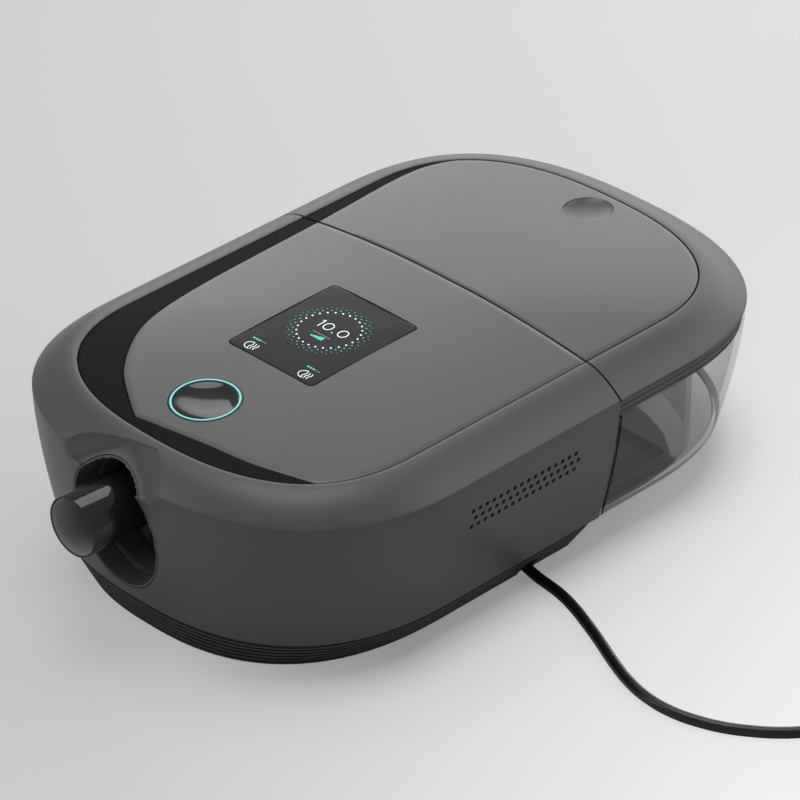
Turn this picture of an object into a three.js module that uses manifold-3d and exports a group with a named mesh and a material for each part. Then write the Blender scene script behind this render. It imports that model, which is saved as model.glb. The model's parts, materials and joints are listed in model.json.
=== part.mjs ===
// A bedside breathing machine: a low rounded housing with an air outlet at the front,
// a colour display and a lit push button on top, and a clear water tank that slides out
// at the rear under a hinged lid. Millimetres, +Z up, -Y is the outlet end, +X the vent side.

import * as THREE from 'three';
import { mergeVertices } from 'three/addons/utils/BufferGeometryUtils.js';
import Module from 'manifold-3d';

const wasm = await Module();
wasm.setup();

// Driving dimensions

const gap = 0.3;          // between pieces that touch or are cut by each other
const overrun = 5;        // how far a cutter runs past what it cuts
const cornerPower = 2.5;  // 2 is an ellipse, larger is squarer
const roundSteps = 12;    // facets along each rounded end of the housing

const shell = {
  halfWidth: 85.2, halfLength: 128, endDepth: 75, shoulderZ: 66,
  footSideInset: 8.7, footEndInset: 5.4, footZ: 14.6, wall: 2.5,
};
const rim = { sideInset: 16.3, endInset: 16.1, cornerInset: 21, rise: 8.4, setForward: 0.9, ledge: 4 };
const dome = { rise: 4.9, thickness: 2.5 };
const seam = { y: 23.3, opening: 0.8 };
const base = {
  sideLean: 9.2, endLean: 5.3, bottomZ: 1.2, floor: 2.5, wall: 3, ribs: 6, ribDepth: 0.6, toSeam: 5.6,
};
const platform = {
  sideInset: 6.3, flare: 12, rearReach: 58.7, endDepth: 40, railHeight: 2.6, railWidth: 4.4, floor: 3, bayInset: 9,
};
const outlet = {
  x: -10.2, aboveRecess: 4.2, radius: 11.2, wall: 1.7, reach: 13, rootLength: 10, flangeRadius: 13.6,
  flange: 2.4,
};
const recess = {
  x: -6.2, halfWidth: 21, aboveShoulder: 1.2, aboveFoot: 3.8, depth: 26, wall: 1.8, ribs: 8, ribDepth: 0.5,
};
const contacts = { x: 3.2, belowRecess: 7.8, width: 7.5, height: 5, length: 11, pinRadius: 0.7, pinPitch: 2.2 };
const display = {
  x: -2, placeShare: 0.4945, width: 41, depth: 51, corner: 2.2, glass: 1.5, ledge: 2, moduleThickness: 3,
  moduleRise: 0.7,
};
const button = {
  x: -2.5, fromFront: 26.1, capRadius: 11, ringWidth: 1.2, ringHeight: 5, cap: 1.8, dish: 1, travel: 0.8,
  stemRadius: 3, stemLength: 0.6, board: 1, cupWall: 1.2,
};
const vents = {
  rows: 3, columns: 16, pitch: 3.3, rowPitch: 3.3, radius: 0.95, toSeam: 70.3, belowShoulder: 15.5,
};
const filter = { depth: 8, height: 17, length: 58, frameWall: 1.6 };
const blower = {
  asideShare: 0.3052, toSeam: 63.3, bottomZ: 16, radius: 34, wall: 2, inletRadius: 12, outletWidth: 20,
  outletHeight: 12,
};
const motor = {
  outerRadius: 16, innerRadius: 9.5, height: 9, shaftRadius: 2, bearingRadius: 5, bearingHeight: 4,
};
const wheel = { radius: 27, disc: 1.5, headroom: 2.2, bladeWidth: 1.2, blades: 11, hubRadius: 6 };
const mount = { radius: 4, circleShare: 0.72 };
const foam = { innerRadius: 13, outerRadius: 30, height: 7 };
const duct = { radius: 11, bore: 9, portDrop: 17, portInset: 30.5, steps: 9, sides: 12 };
const bulkhead = { thickness: 2.5, sealWall: 2.5, sealLength: 3.1 };
const board = {
  thickness: 1.6, sideInset: 14.3, mountGap: 11.8, depth: 68, toSeam: 49.3, postRadius: 2.6, postHeight: 5,
  partHeight: 7, partSize: 12,
};
const feet = { radius: 8, height: 2.2, sideInset: 21.3, frontInset: 33.3, rearInset: 24 };
const screw = {
  headRadius: 3, headHeight: 2, shankRadius: 1.5, length: 9, bossRadius: 4.5, sideInset: 9.3, frontInset: 55.3,
  rearInset: 7.7,
};
const plug = {
  y: -4.6, z: 5.8, socketInset: 43.3, socketLength: 11, bodyRadius: 4.4, bodyLength: 12.4, tipRadius: 2.7,
  tipLength: 8,
  bootRootRadius: 3.8, bootTipRadius: 2.9, bootLength: 8, channelRoom: 1.2, notchTopZ: 7.8,
};
const heater = { margin: 2, sideRoom: 0.6, frontInset: 3, rearInset: 12 };
const tank = {
  belowFoot: 0.2, edge: 0.8, rimDrop: 7, wall: 2, frontWall: 2.2, basePlate: 1, sealHeight: 5.9, sealWidth: 4.5,
  sealInset: 0.8, grooveDepth: 0.6, crossbar: 5, crossbarDrop: 3, baffleWall: 1.8, baffleDrop: 4, spoutLength: 22, spoutWall: 1.6, portRoom: 7,
};
const baffle = { outerSideRoom: 1.5, outerRearRoom: 20, outerEndDepth: 45, innerShare: 0.6 };
const hinge = {
  rise: 3.1, fromSeam: 1.6, pinRadius: 0.5, boreRadius: 0.8, barrelRadius: 1.5, earX: 14, earWidth: 3,
  pinReach: 18, earRadius: 1.2,
};
const lid = {
  rearGap: 0.5, chamfer: 0.6, liner: 1.9, gasketInset: 5, gasketWidth: 3.2, gasket: 1.8, barGap: 1.3,
};
const scoop = { x: 0, fromRear: 13.5, halfWidth: 8.5, halfLength: 10.5, depth: 2.6, pad: 1.8 };

// The free end of the supply lead: its route over the table, in the model's own frame
const cord = { radius: 2, sides: 8, steps: 30 };
const cordRoute = [
  [56.3, 1.9, 5.8], [60, 1.9, 5.7], [64.5, 1.9, 4.9], [69.5, 1.8, 3.4], [74.5, 1.6, 2.3], [79.5, 1.2, 2],
  [86, 0.2, 2], [95, -2.4, 2], [105, -6.4, 2], [115.3, -11, 2], [127, -16.6, 2], [138.5, -21.2, 2],
  [149.3, -23.6, 2], [160, -23.6, 2], [169.7, -21.3, 2], [178, -17.8, 2], [185, -13.4, 2], [191.8, -8.1, 2.1],
  [197.9, -2, 2.4], [203.2, 4.9, 2.8], [207.6, 12, 3], [211.7, 18.65, 3.1],
];
const coil = {
  x: 238.5, y: 7, startZ: 3.1, outerRadius: 28.9, pitch: 4.5, layers: 4, turnsPerLayer: 2.75,
  stepsPerTurn: 24, sides: 6, heading: 58, lead: 4, tail: 14,
};
const tie = { width: 9, thickness: 0.8, room: 0.6, turnShare: 0.42 };
const adapter = {
  width: 34, length: 52, corner: 5, bootLength: 14, bootRootRadius: 4, bootTipRadius: 2.9,
  bladeWidth: 6.3, bladeThickness: 1.5, bladeLength: 18, bladeSpacing: 12.7,
};

// Places and outer sizes that follow from those

const foot = {
  halfWidth: shell.halfWidth - shell.footSideInset,
  halfLength: shell.halfLength - shell.footEndInset,
};
const sole = { halfWidth: foot.halfWidth - base.sideLean, halfLength: foot.halfLength - base.endLean };
const opening = {
  halfWidth: shell.halfWidth - rim.sideInset,
  halfLength: shell.halfLength - rim.endInset,
  endDepth: shell.endDepth - rim.cornerInset,
  z: shell.shoulderZ + rim.rise,
};
const baseEndY = seam.y - base.toSeam;
const tankBottomZ = shell.footZ - tank.belowFoot;
const tankRimZ = shell.shoulderZ - tank.rimDrop;
const crossbarTopZ = opening.z - tank.crossbarDrop;
const portX = foot.halfWidth - duct.portInset;
const portZ = tankRimZ - duct.portDrop;
const railTopZ = tankBottomZ - gap;
const platformHalfWidth = sole.halfWidth - platform.sideInset;
const platformEndY = seam.y + platform.rearReach;
const platformTopZ = railTopZ - platform.railHeight;
const railInnerX = platformHalfWidth + platform.flare - platform.railWidth;
const recessTopZ = shell.shoulderZ + recess.aboveShoulder;
const recessBottomZ = shell.footZ + recess.aboveFoot;
const recessZ = (recessTopZ + recessBottomZ) / 2;
const recessHalfHeight = (recessTopZ - recessBottomZ) / 2;
const recessFloorY = -(shell.halfLength - recess.depth);
const outletZ = recessZ + outlet.aboveRecess;
const outletRootY = recessFloorY + outlet.rootLength;
const contactsZ = recessZ - contacts.belowRecess;
const buttonY = button.fromFront - opening.halfLength - rim.setForward;
const displayY = THREE.MathUtils.lerp(buttonY, seam.y, display.placeShare);
const scoopY = opening.halfLength - rim.setForward - scoop.fromRear;
const ventsY = seam.y - vents.toSeam;
const ventsZ = shell.shoulderZ - vents.belowShoulder;
const blowerX = shell.halfWidth * blower.asideShare;
const blowerY = seam.y - blower.toSeam;
const blowerTopZ = portZ + blower.outletHeight / 2 + blower.wall;
const blowerSplitZ = (blower.bottomZ + blowerTopZ) / 2;
const hingeZ = opening.z + hinge.rise;
const socketX = sole.halfWidth - plug.socketInset;

// Colours and finishes

const finish = (color, roughness, metalness = 0) =>
  new THREE.MeshStandardMaterial({ color, roughness, metalness });
const housingGrey = () => finish(0x565758, 0.5);
const basePlastic = () => finish(0x2b2b2c, 0.6);
const blackTrim = () => finish(0x212223, 0.55);
const innerPlastic = () => finish(0x3a3b3d, 0.6);
const glassBlack = () => finish(0x3f4041, 0.18);
const tealGlow = () => finish(0x63dcd2, 0.3);
const smokyClear = () => finish(0x3b3d3f, 0.1);
const clearTank = () => finish(0xb9bcbd, 0.08);
const rubberBlack = () => finish(0x1c1c1d, 0.85);
const cordBlack = () => finish(0x131314, 0.35);
const boardGreen = () => finish(0x1f4a36, 0.5);
const steel = () => finish(0xb5b8ba, 0.3, 0.9);
const copper = () => finish(0xa8683a, 0.4, 0.8);
const foamGrey = () => finish(0x8b8d8e, 0.95);

// Solids

const facingOut = (geometry) => {
  const at = geometry.attributes.position;
  const index = geometry.index;
  const [a, b, c] = [new THREE.Vector3(), new THREE.Vector3(), new THREE.Vector3()];
  let volume = 0;
  for (let i = 0; i < index.count; i += 3) {
    a.fromBufferAttribute(at, index.getX(i));
    b.fromBufferAttribute(at, index.getX(i + 1));
    c.fromBufferAttribute(at, index.getX(i + 2));
    volume += a.dot(b.cross(c));
  }
  if (volume < 0) {
    for (let i = 0; i < index.count; i += 3) {
      const first = index.getX(i);
      index.setX(i, index.getX(i + 2));
      index.setX(i + 2, first);
    }
  }
  return geometry;
};

const solid = (geometry) => {
  const plain = geometry.clone();
  plain.deleteAttribute('normal');
  plain.deleteAttribute('uv');
  const merged = facingOut(mergeVertices(plain, 1e-4));
  return new wasm.Manifold(new wasm.Mesh({
    numProp: 3,
    vertProperties: new Float32Array(merged.attributes.position.array),
    triVerts: new Uint32Array(merged.index.array),
  }));
};

const cut = (first, ...others) => others.reduce((whole, other) => whole.subtract(other), first);
const join = (first, ...others) => others.reduce((whole, other) => whole.add(other), first);

const geometryOf = (manifold) => {
  const mesh = manifold.getMesh();
  const geometry = new THREE.BufferGeometry();
  geometry.setAttribute('position', new THREE.Float32BufferAttribute(mesh.vertProperties, 3));
  geometry.setIndex(Array.from(mesh.triVerts));
  geometry.computeVertexNormals();
  return geometry;
};

const box = (x0, x1, y0, y1, z0, z1) => solid(
  new THREE.BoxGeometry(x1 - x0, y1 - y0, z1 - z0)
    .translate((x0 + x1) / 2, (y0 + y1) / 2, (z0 + z1) / 2));

// A rod from one point to another, tapered where the second radius differs
const rod = (from, to, radius, sides = 16, endRadius = radius) => {
  const start = new THREE.Vector3(...from);
  const along = new THREE.Vector3(...to).sub(start);
  const turn = new THREE.Quaternion().setFromUnitVectors(
    new THREE.Vector3(0, 1, 0), along.clone().normalize());
  const geometry = new THREE.CylinderGeometry(endRadius, radius, along.length(), sides)
    .applyQuaternion(turn);
  const middle = start.add(along.multiplyScalar(0.5));
  return solid(geometry.translate(middle.x, middle.y, middle.z));
};

// A profile of [radius, height] pairs turned about the vertical line through x, y
const turned = (profile, x, y, sides = 24) => solid(
  new THREE.LatheGeometry(profile.map(([r, z]) => new THREE.Vector2(r, z)), sides)
    .rotateX(Math.PI / 2)
    .translate(x, y, 0));

const ringProfile = (inner, outer, z0, z1) => [[inner, z0], [outer, z0], [outer, z1], [inner, z1], [inner, z0]];

const prism = (points, z0, z1) => solid(
  new THREE.ExtrudeGeometry(new THREE.Shape(points.map(([x, y]) => new THREE.Vector2(x, y))),
    { depth: z1 - z0, bevelEnabled: false })
    .translate(0, 0, z0));

// The housing's plan: straight flanks and squarish rounded ends
const squareCurve = (value) => Math.sign(value) * Math.abs(value) ** (2 / cornerPower);
const plan = ({ halfWidth, halfLength, endDepth, y = 0 }) => {
  const points = [];
  for (const end of [1, -1]) {
    for (let i = 0; i <= roundSteps; i += 1) {
      const angle = Math.PI * (i / roundSteps);
      points.push([
        end * halfWidth * squareCurve(Math.cos(angle)),
        y + end * (halfLength - endDepth + endDepth * squareCurve(Math.sin(angle))),
      ]);
    }
  }
  return points;
};
const inset = (level, by) => ({
  ...level,
  halfWidth: level.halfWidth - by,
  halfLength: level.halfLength - by,
  endDepth: level.endDepth - by,
});
const scaled = (level, share) => ({
  ...level,
  halfWidth: level.halfWidth * share,
  halfLength: level.halfLength * share,
  endDepth: level.endDepth * share,
});

// Skins a stack of convex rings that all have the same number of points, and caps both ends
const skin = (rings) => {
  const count = rings[0].length;
  const last = (rings.length - 1) * count;
  const index = [];
  rings.slice(1).forEach((ring, level) => {
    for (let i = 0; i < count; i += 1) {
      const [a, b] = [level * count + i, level * count + ((i + 1) % count)];
      index.push(a, b, b + count, a, b + count, a + count);
    }
  });
  for (let i = 1; i < count - 1; i += 1) {
    index.push(i + 1, i, 0, last, last + i, last + i + 1);
  }
  const geometry = new THREE.BufferGeometry();
  geometry.setAttribute('position', new THREE.Float32BufferAttribute(rings.flat(2), 3));
  geometry.setIndex(index);
  return geometry;
};
const loft = (levels) => solid(skin(levels.map((level) => plan(level).map(([x, y]) => [x, y, level.z]))));

// The outside of the housing at a height, from its foot to the shoulder: the walls bulge a little
const wallRiseShares = [0, 0.3, 0.65, 1];
const wallSpreadShares = [0, 0.42, 0.8, 1];
const shellPlan = (riseShare, spreadShare) => ({
  halfWidth: THREE.MathUtils.lerp(foot.halfWidth, shell.halfWidth, spreadShare),
  halfLength: THREE.MathUtils.lerp(foot.halfLength, shell.halfLength, spreadShare),
  endDepth: shell.endDepth,
  z: THREE.MathUtils.lerp(shell.footZ, shell.shoulderZ, riseShare),
});
const shellPlanAt = (z) => {
  const rise = (z - shell.footZ) / (shell.shoulderZ - shell.footZ);
  const above = wallRiseShares.findIndex((share) => share >= rise);
  const step = Math.max(1, Math.min(wallRiseShares.length - 1, above));
  const within = (rise - wallRiseShares[step - 1]) / (wallRiseShares[step] - wallRiseShares[step - 1]);
  return shellPlan(rise, THREE.MathUtils.lerp(wallSpreadShares[step - 1], wallSpreadShares[step], within));
};
// Where the flank of a level stands at a place along the housing
const flankX = (level, y) => {
  const round = Math.max(0, Math.abs(y) - level.halfLength + level.endDepth) / level.endDepth;
  return level.halfWidth * (1 - round ** cornerPower) ** (1 / cornerPower);
};
const rimPlan = { ...opening, y: -rim.setForward };

// From the shoulder the top curves in to the rim of the opening and flattens as it gets there
const shoulderShares = [0.25, 0.5, 0.75, 1];
const shoulderPower = 1.8;
const shoulderPlan = (share) => ({
  halfWidth: THREE.MathUtils.lerp(shell.halfWidth, opening.halfWidth, share),
  halfLength: THREE.MathUtils.lerp(shell.halfLength, opening.halfLength, share),
  endDepth: THREE.MathUtils.lerp(shell.endDepth, opening.endDepth, share),
  y: -rim.setForward * share,
  z: shell.shoulderZ + (opening.z - shell.shoulderZ) * (1 - (1 - share) ** shoulderPower),
});

const wallLevels = wallRiseShares.map((rise, i) => shellPlan(rise, wallSpreadShares[i]));
const outerLevels = [...wallLevels, ...shoulderShares.map(shoulderPlan)];
const ledgeTopZ = opening.z - dome.thickness - gap;
const far = shell.halfLength * 2;
const slab = (z0, z1) => box(-far, far, -far, far, z0, z1);
const aheadOf = (y) => box(-far, far, y, far, -far, far);
const behindOf = (y) => box(-far, far, -far, y, -far, far);

// The room inside the walls, up to the underside of the ledge round the opening
const innerRoom = (clearance) => {
  const levels = outerLevels.map((level, i) => ({
    ...inset(level, shell.wall + clearance),
    z: i < wallLevels.length ? level.z : level.z - shell.wall,
  })).filter((level, i, all) => i === 0 || level.z > all[i - 1].z);
  return loft([{ ...levels[0], z: levels[0].z - overrun }, ...levels])
    .intersect(slab(-far, ledgeTopZ - shell.wall));
};

// Both halves of the top: a shell with a stepped opening that the panels lie in
const hollowShell = () => cut(
  loft(outerLevels),
  innerRoom(0),
  prism(plan(rimPlan), ledgeTopZ, opening.z + overrun),
  prism(plan(inset(rimPlan, rim.ledge)), ledgeTopZ - shell.wall - overrun, opening.z + overrun));

const front = seam.y - seam.opening / 2;
const rear = seam.y + seam.opening / 2;

// The crowned surface that the top panels share, made of rings that shrink as they rise
const domeShares = [1.1, 1, 0.9, 0.78, 0.64, 0.48, 0.3, 0.1];
const domeZ = (share) => opening.z + dome.rise * (1 - share * share);
const domeBody = (drop, floorZ = 0) => {
  const ring = (share, z) => plan(scaled({ ...rimPlan, y: 0 }, share)).map(([x, y]) => [x, y - rim.setForward, z]);
  const crown = domeShares.map((share) => ring(share, domeZ(share) - drop));
  return solid(skin([ring(domeShares[0], floorZ), ...crown]));
};
const domeSheet = (topDrop, bottomDrop) => cut(domeBody(topDrop), domeBody(bottomDrop, -overrun));

// The panel leaves a black crescent along the left and round the front, to a sharp corner
const panelEdgeShares = [
  [-0.6, 1.02], [-0.74, 0.92], [-0.82, 0.85], [-0.9, 0.76], [-0.933, 0.61], [-0.893, 0.22], [-0.875, -0.07],
  [-0.856, -0.3], [-0.819, -0.484], [-0.765, -0.61], [-0.668, -0.718], [-0.531, -0.82], [-0.38, -0.89],
  [-0.2, -0.96],
];
const panelFrontShares = [[-0.2, -0.96], [0.218, -0.92], [0.528, -0.892], [0.891, -0.82], [1.05, -0.77]];
const panelCornerShares = [[1.2, -0.77], [1.2, 1.2], [-0.6, 1.2]];
const panelOutline = () => {
  const place = ([x, y]) => new THREE.Vector2(x * opening.halfWidth, y * opening.halfLength - rim.setForward);
  const left = new THREE.SplineCurve(panelEdgeShares.map(place)).getPoints(30);
  const frontEdge = new THREE.SplineCurve(panelFrontShares.map(place)).getPoints(12).slice(1);
  return [...left, ...frontEdge, ...panelCornerShares.map(place)].map((point) => [point.x, point.y]);
};
const panelColumn = () => prism(panelOutline(), 0, far);
// The same column moved out by a clearance, to cut what lies beside the panel
const panelClearance = (side, back = side) => join(
  panelColumn(),
  ...[[-side, 0], [0, -side], [-side, -side], [0, back], [-side, back]].map(
    ([x, y]) => panelColumn().translate([x, y, 0])));
const openingColumn = (by) => prism(plan(inset(rimPlan, by)), 0, far);

const displayPlan = (grow) => {
  const [halfWidth, halfDepth] = [display.width / 2 + grow, display.depth / 2 + grow];
  const corner = display.corner;
  const points = [];
  [[1, 1], [-1, 1], [-1, -1], [1, -1]].forEach(([sx, sy], quarter) => {
    for (let i = 0; i <= 3; i += 1) {
      const angle = (quarter + i / 3) * Math.PI / 2;
      points.push([
        display.x + sx * (halfWidth - corner) + corner * Math.cos(angle),
        displayY + sy * (halfDepth - corner) + corner * Math.sin(angle),
      ]);
    }
  });
  return points;
};

// The button stands square to the crowned panel, which leans forward there
const buttonShare = (-buttonY - rim.setForward) / opening.halfLength;
const buttonZ = domeZ(buttonShare);
const buttonLean = Math.atan(2 * dome.rise * buttonShare / opening.halfLength);
const ringOuter = button.capRadius + gap + button.ringWidth;
const atButton = (profile, sides = 24) => solid(
  geometryOf(turned(profile, 0, 0, sides)).rotateX(buttonLean).translate(button.x, buttonY, buttonZ));

const scoopZ = domeZ((scoopY + rim.setForward) / opening.halfLength);
const scoopBowl = (grow) => solid(new THREE.SphereGeometry(1, 16, 8)
  .scale(scoop.halfWidth + grow, scoop.halfLength + grow, scoop.depth + grow)
  .translate(scoop.x, scoopY, scoopZ));

const group = new THREE.Group();
const machine = new THREE.Group();
machine.position.y = outlet.reach / 2;
group.add(machine);

const tankGroup = new THREE.Group();
machine.add(tankGroup);
const lidGroup = new THREE.Group();
tankGroup.add(lidGroup);

const add = (name, manifold, material, parent = machine) => {
  const mesh = new THREE.Mesh(geometryOf(manifold), material);
  mesh.name = name;
  parent.add(mesh);
};

// Base

const footX = sole.halfWidth - feet.sideInset;
const footPlaces = (y) => [-footX, footX].map((x) => [x, y]);
const frontFeet = footPlaces(feet.frontInset - sole.halfLength);
const rearFeet = footPlaces(platformEndY - feet.rearInset);
const screwX = sole.halfWidth - screw.sideInset;
const screwPlaces = [-screwX, screwX].flatMap((x) => [
  [x, screw.frontInset - sole.halfLength],
  [x, baseEndY - screw.rearInset],
]);
const mountTurnShare = 1 / 12;
const mountPlaces = [0, 1, 2].map((i) => {
  const angle = 2 * Math.PI * (mountTurnShare + i / 3);
  const reach = blower.radius * mount.circleShare;
  return [blowerX + reach * Math.cos(angle), blowerY + reach * Math.sin(angle)];
});
const mountZ = base.bottomZ + base.floor + mount.radius / 2;

// The main board takes up the room between the left wall and the nearest mount
const boardLeft = board.sideInset - sole.halfWidth;
const boardRight = Math.min(...mountPlaces.map(([x]) => x)) - mount.radius - board.mountGap;
const boardX = (boardLeft + boardRight) / 2;
const boardY = seam.y - board.toSeam;
const boardWidth = boardRight - boardLeft;
const boardZ = base.bottomZ + base.floor + board.postHeight;
const postPlaces = [-1, 1].flatMap((sx) => [-1, 1].map((sy) => [
  boardX + sx * (boardWidth / 2 - board.postRadius),
  boardY + sy * (board.depth / 2 - board.postRadius),
]));
const upright = ([x, y], radius, z0, z1, sides = 12) => rod([x, y, z0], [x, y, z1], radius, sides);
const footPocket = (place) => upright(place, feet.radius + gap, 0, feet.height + gap, 20);
const channelHalf = plug.bodyRadius + plug.channelRoom;
const channelTopZ = plug.z + channelHalf;

// The ribbed skirt leans out as it rises to the foot of the shell
const skirtLevels = () => {
  const levels = [];
  for (let i = 0; i <= 2 * base.ribs; i += 1) {
    const share = i / (2 * base.ribs);
    const groove = i % 2 === 1 ? base.ribDepth : 0;
    levels.push({
      halfWidth: THREE.MathUtils.lerp(sole.halfWidth, foot.halfWidth, share) - groove,
      halfLength: THREE.MathUtils.lerp(sole.halfLength, foot.halfLength, share) - groove,
      endDepth: shell.endDepth,
      z: THREE.MathUtils.lerp(base.bottomZ, shell.footZ - gap, share),
    });
  }
  return levels;
};

const screwHoles = () => screwPlaces.map((place) => join(
  upright(place, screw.headRadius + gap, 0, base.bottomZ + screw.headHeight + gap),
  upright(place, screw.shankRadius + gap, 0, base.bottomZ + screw.length + gap, 10)));

const addBase = () => {
  const levels = skirtLevels();
  const top = levels[levels.length - 1];
  const trough = loft([
    { ...inset(levels[0], base.wall), z: base.bottomZ + base.floor },
    { ...inset(top, base.wall), z: top.z },
    { ...inset(top, base.wall), z: top.z + overrun },
  ]);
  const roof = box(socketX - base.wall, sole.halfWidth, plug.y - channelHalf - base.wall,
    plug.y + channelHalf + base.wall, base.bottomZ, channelTopZ + base.floor);
  const posts = postPlaces.map((place) => upright(place, board.postRadius, base.bottomZ, boardZ - gap, 10));
  const seats = mountPlaces.map((place) => upright(place, mount.radius, base.bottomZ, mountZ));
  const bosses = screwPlaces.map((place) => upright(
    place, screw.bossRadius, base.bottomZ, base.bottomZ + screw.length + base.floor));
  const notchHalf = cord.radius + plug.channelRoom;
  add('base_pan', cut(
    join(cut(loft(levels), trough), roof, ...posts, ...seats, ...bosses),
    aheadOf(baseEndY),
    box(socketX - gap, sole.halfWidth - overrun, plug.y - channelHalf, plug.y + channelHalf, 0, channelTopZ),
    box(socketX, far, plug.y - notchHalf, plug.y + notchHalf, 0, plug.notchTopZ),
    ...frontFeet.map(footPocket),
    ...screwHoles()), basePlastic());
};

const platformLevel = (z, grow) => ({
  halfWidth: platformHalfWidth + grow, halfLength: platformEndY + grow, endDepth: platform.endDepth, z });

// It flares out to carry the tank on two rails, with the heater between them
const addPlatform = () => {
  const column = loft([platformLevel(base.bottomZ, 0), platformLevel(railTopZ, platform.flare)]);
  const between = box(-railInnerX, railInnerX, 0, far, platformTopZ, railTopZ + overrun);
  const underBulkhead = box(-far, far, 0, rear, platformTopZ, railTopZ + overrun);
  const bayTopZ = platformTopZ - platform.floor;
  const bay = loft([platformLevel(-overrun, -platform.bayInset), platformLevel(bayTopZ, -platform.bayInset)])
    .intersect(aheadOf(baseEndY + platform.bayInset));
  const pads = rearFeet.map((place) => upright(
    place, feet.radius + base.wall, base.bottomZ, platformTopZ - platform.floor / 2, 20).intersect(column));
  add('tank_platform', cut(
    join(cut(column.intersect(aheadOf(baseEndY + gap)), between, underBulkhead, bay), ...pads),
    ...rearFeet.map(footPocket)), basePlastic());
};


const addFeetAndScrews = () => {
  [...frontFeet, ...rearFeet].forEach((place, i) => add(
    `rubber_foot_${i + 1}`, upright(place, feet.radius, 0, feet.height, 20), rubberBlack()));
  screwPlaces.forEach((place, i) => add(`case_screw_${i + 1}`, join(
    upright(place, screw.headRadius, base.bottomZ, base.bottomZ + screw.headHeight),
    upright(place, screw.shankRadius, base.bottomZ, base.bottomZ + screw.length, 10)), steel()));
};

// Shell

const ventHoles = () => {
  const holes = [];
  for (let row = 0; row < vents.rows; row += 1) {
    const z = ventsZ + (row - (vents.rows - 1) / 2) * vents.rowPitch;
    for (let column = 0; column < vents.columns; column += 1) {
      const y = ventsY + (column + (row % 2) / 2) * vents.pitch;
      holes.push(rod([opening.halfWidth, y, z], [shell.halfWidth + overrun, y, z], vents.radius, 6));
    }
  }
  return holes;
};

const recessRing = (grow, y, sides = 20) => {
  const points = [];
  for (let i = 0; i < sides; i += 1) {
    const angle = 2 * Math.PI * i / sides;
    points.push([
      recess.x + (recess.halfWidth + grow) * Math.cos(angle),
      y,
      recessZ + (recessHalfHeight + grow) * Math.sin(angle),
    ]);
  }
  return points;
};
const recessMouthY = -shell.halfLength - overrun;
const recessColumn = (grow) => solid(skin([recessRing(grow, recessMouthY), recessRing(grow, recessFloorY)]));

const addShell = () => add('main_shell', cut(
  hollowShell(),
  aheadOf(front),
  recessColumn(gap),
  ...ventHoles()), housingGrey());

const portHole = (side, radius, y0, y1, sides = 20) => rod(
  [side * portX, y0, portZ], [side * portX, y1, portZ], radius, sides);

const bulkheadRearY = front - gap;
const bulkheadFrontY = bulkheadRearY - bulkhead.thickness;

const addBulkhead = () => {
  const wall = innerRoom(gap)
    .intersect(box(-far, far, bulkheadFrontY, bulkheadRearY, shell.footZ + gap, far));
  add('rear_bulkhead', cut(wall, ...[-1, 1].map((side) => portHole(
    side, duct.bore + bulkhead.sealWall + gap, 0, far))), innerPlastic());
  [['right', 1], ['left', -1]].forEach(([name, side]) => add(`port_seal_${name}`, cut(
    portHole(side, duct.bore + bulkhead.sealWall, bulkheadFrontY, bulkheadFrontY + bulkhead.sealLength),
    portHole(side, duct.bore, 0, far, 16)), rubberBlack()));
};

// Top panels and display

const addTopPanels = () => {
  const hole = atButton([[0, -overrun], [ringOuter + gap, -overrun], [ringOuter + gap, overrun], [0, overrun]]);
  add('top_panel', cut(
    domeSheet(0, dome.thickness).intersect(panelColumn()).intersect(openingColumn(gap)),
    aheadOf(front),
    prism(displayPlan(-display.ledge), 0, far),
    domeSheet(-overrun, display.glass + gap).intersect(prism(displayPlan(gap), 0, far)),
    hole), housingGrey());
  const crescent = cut(domeSheet(gap, dome.thickness).intersect(openingColumn(gap)), panelClearance(gap));
  add('trim_front', cut(crescent, aheadOf(front)), blackTrim());
  const rearCrescent = cut(
    domeSheet(gap, dome.thickness).intersect(openingColumn(gap)),
    panelClearance(gap, lid.rearGap),
    behindOf(rear));
  add('trim_rear', rearCrescent.intersect(box(-far, 0, -far, far, -far, far)), blackTrim(), tankGroup);
  add('display_glass', domeSheet(0, display.glass).intersect(prism(displayPlan(0), 0, far)), glassBlack());
  const moduleTopZ = opening.z + display.moduleRise;
  add('display_module', box(
    display.x - display.width / 2, display.x + display.width / 2,
    displayY - display.depth / 2, displayY + display.depth / 2,
    moduleTopZ - display.moduleThickness, moduleTopZ), boardGreen());
};

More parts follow.
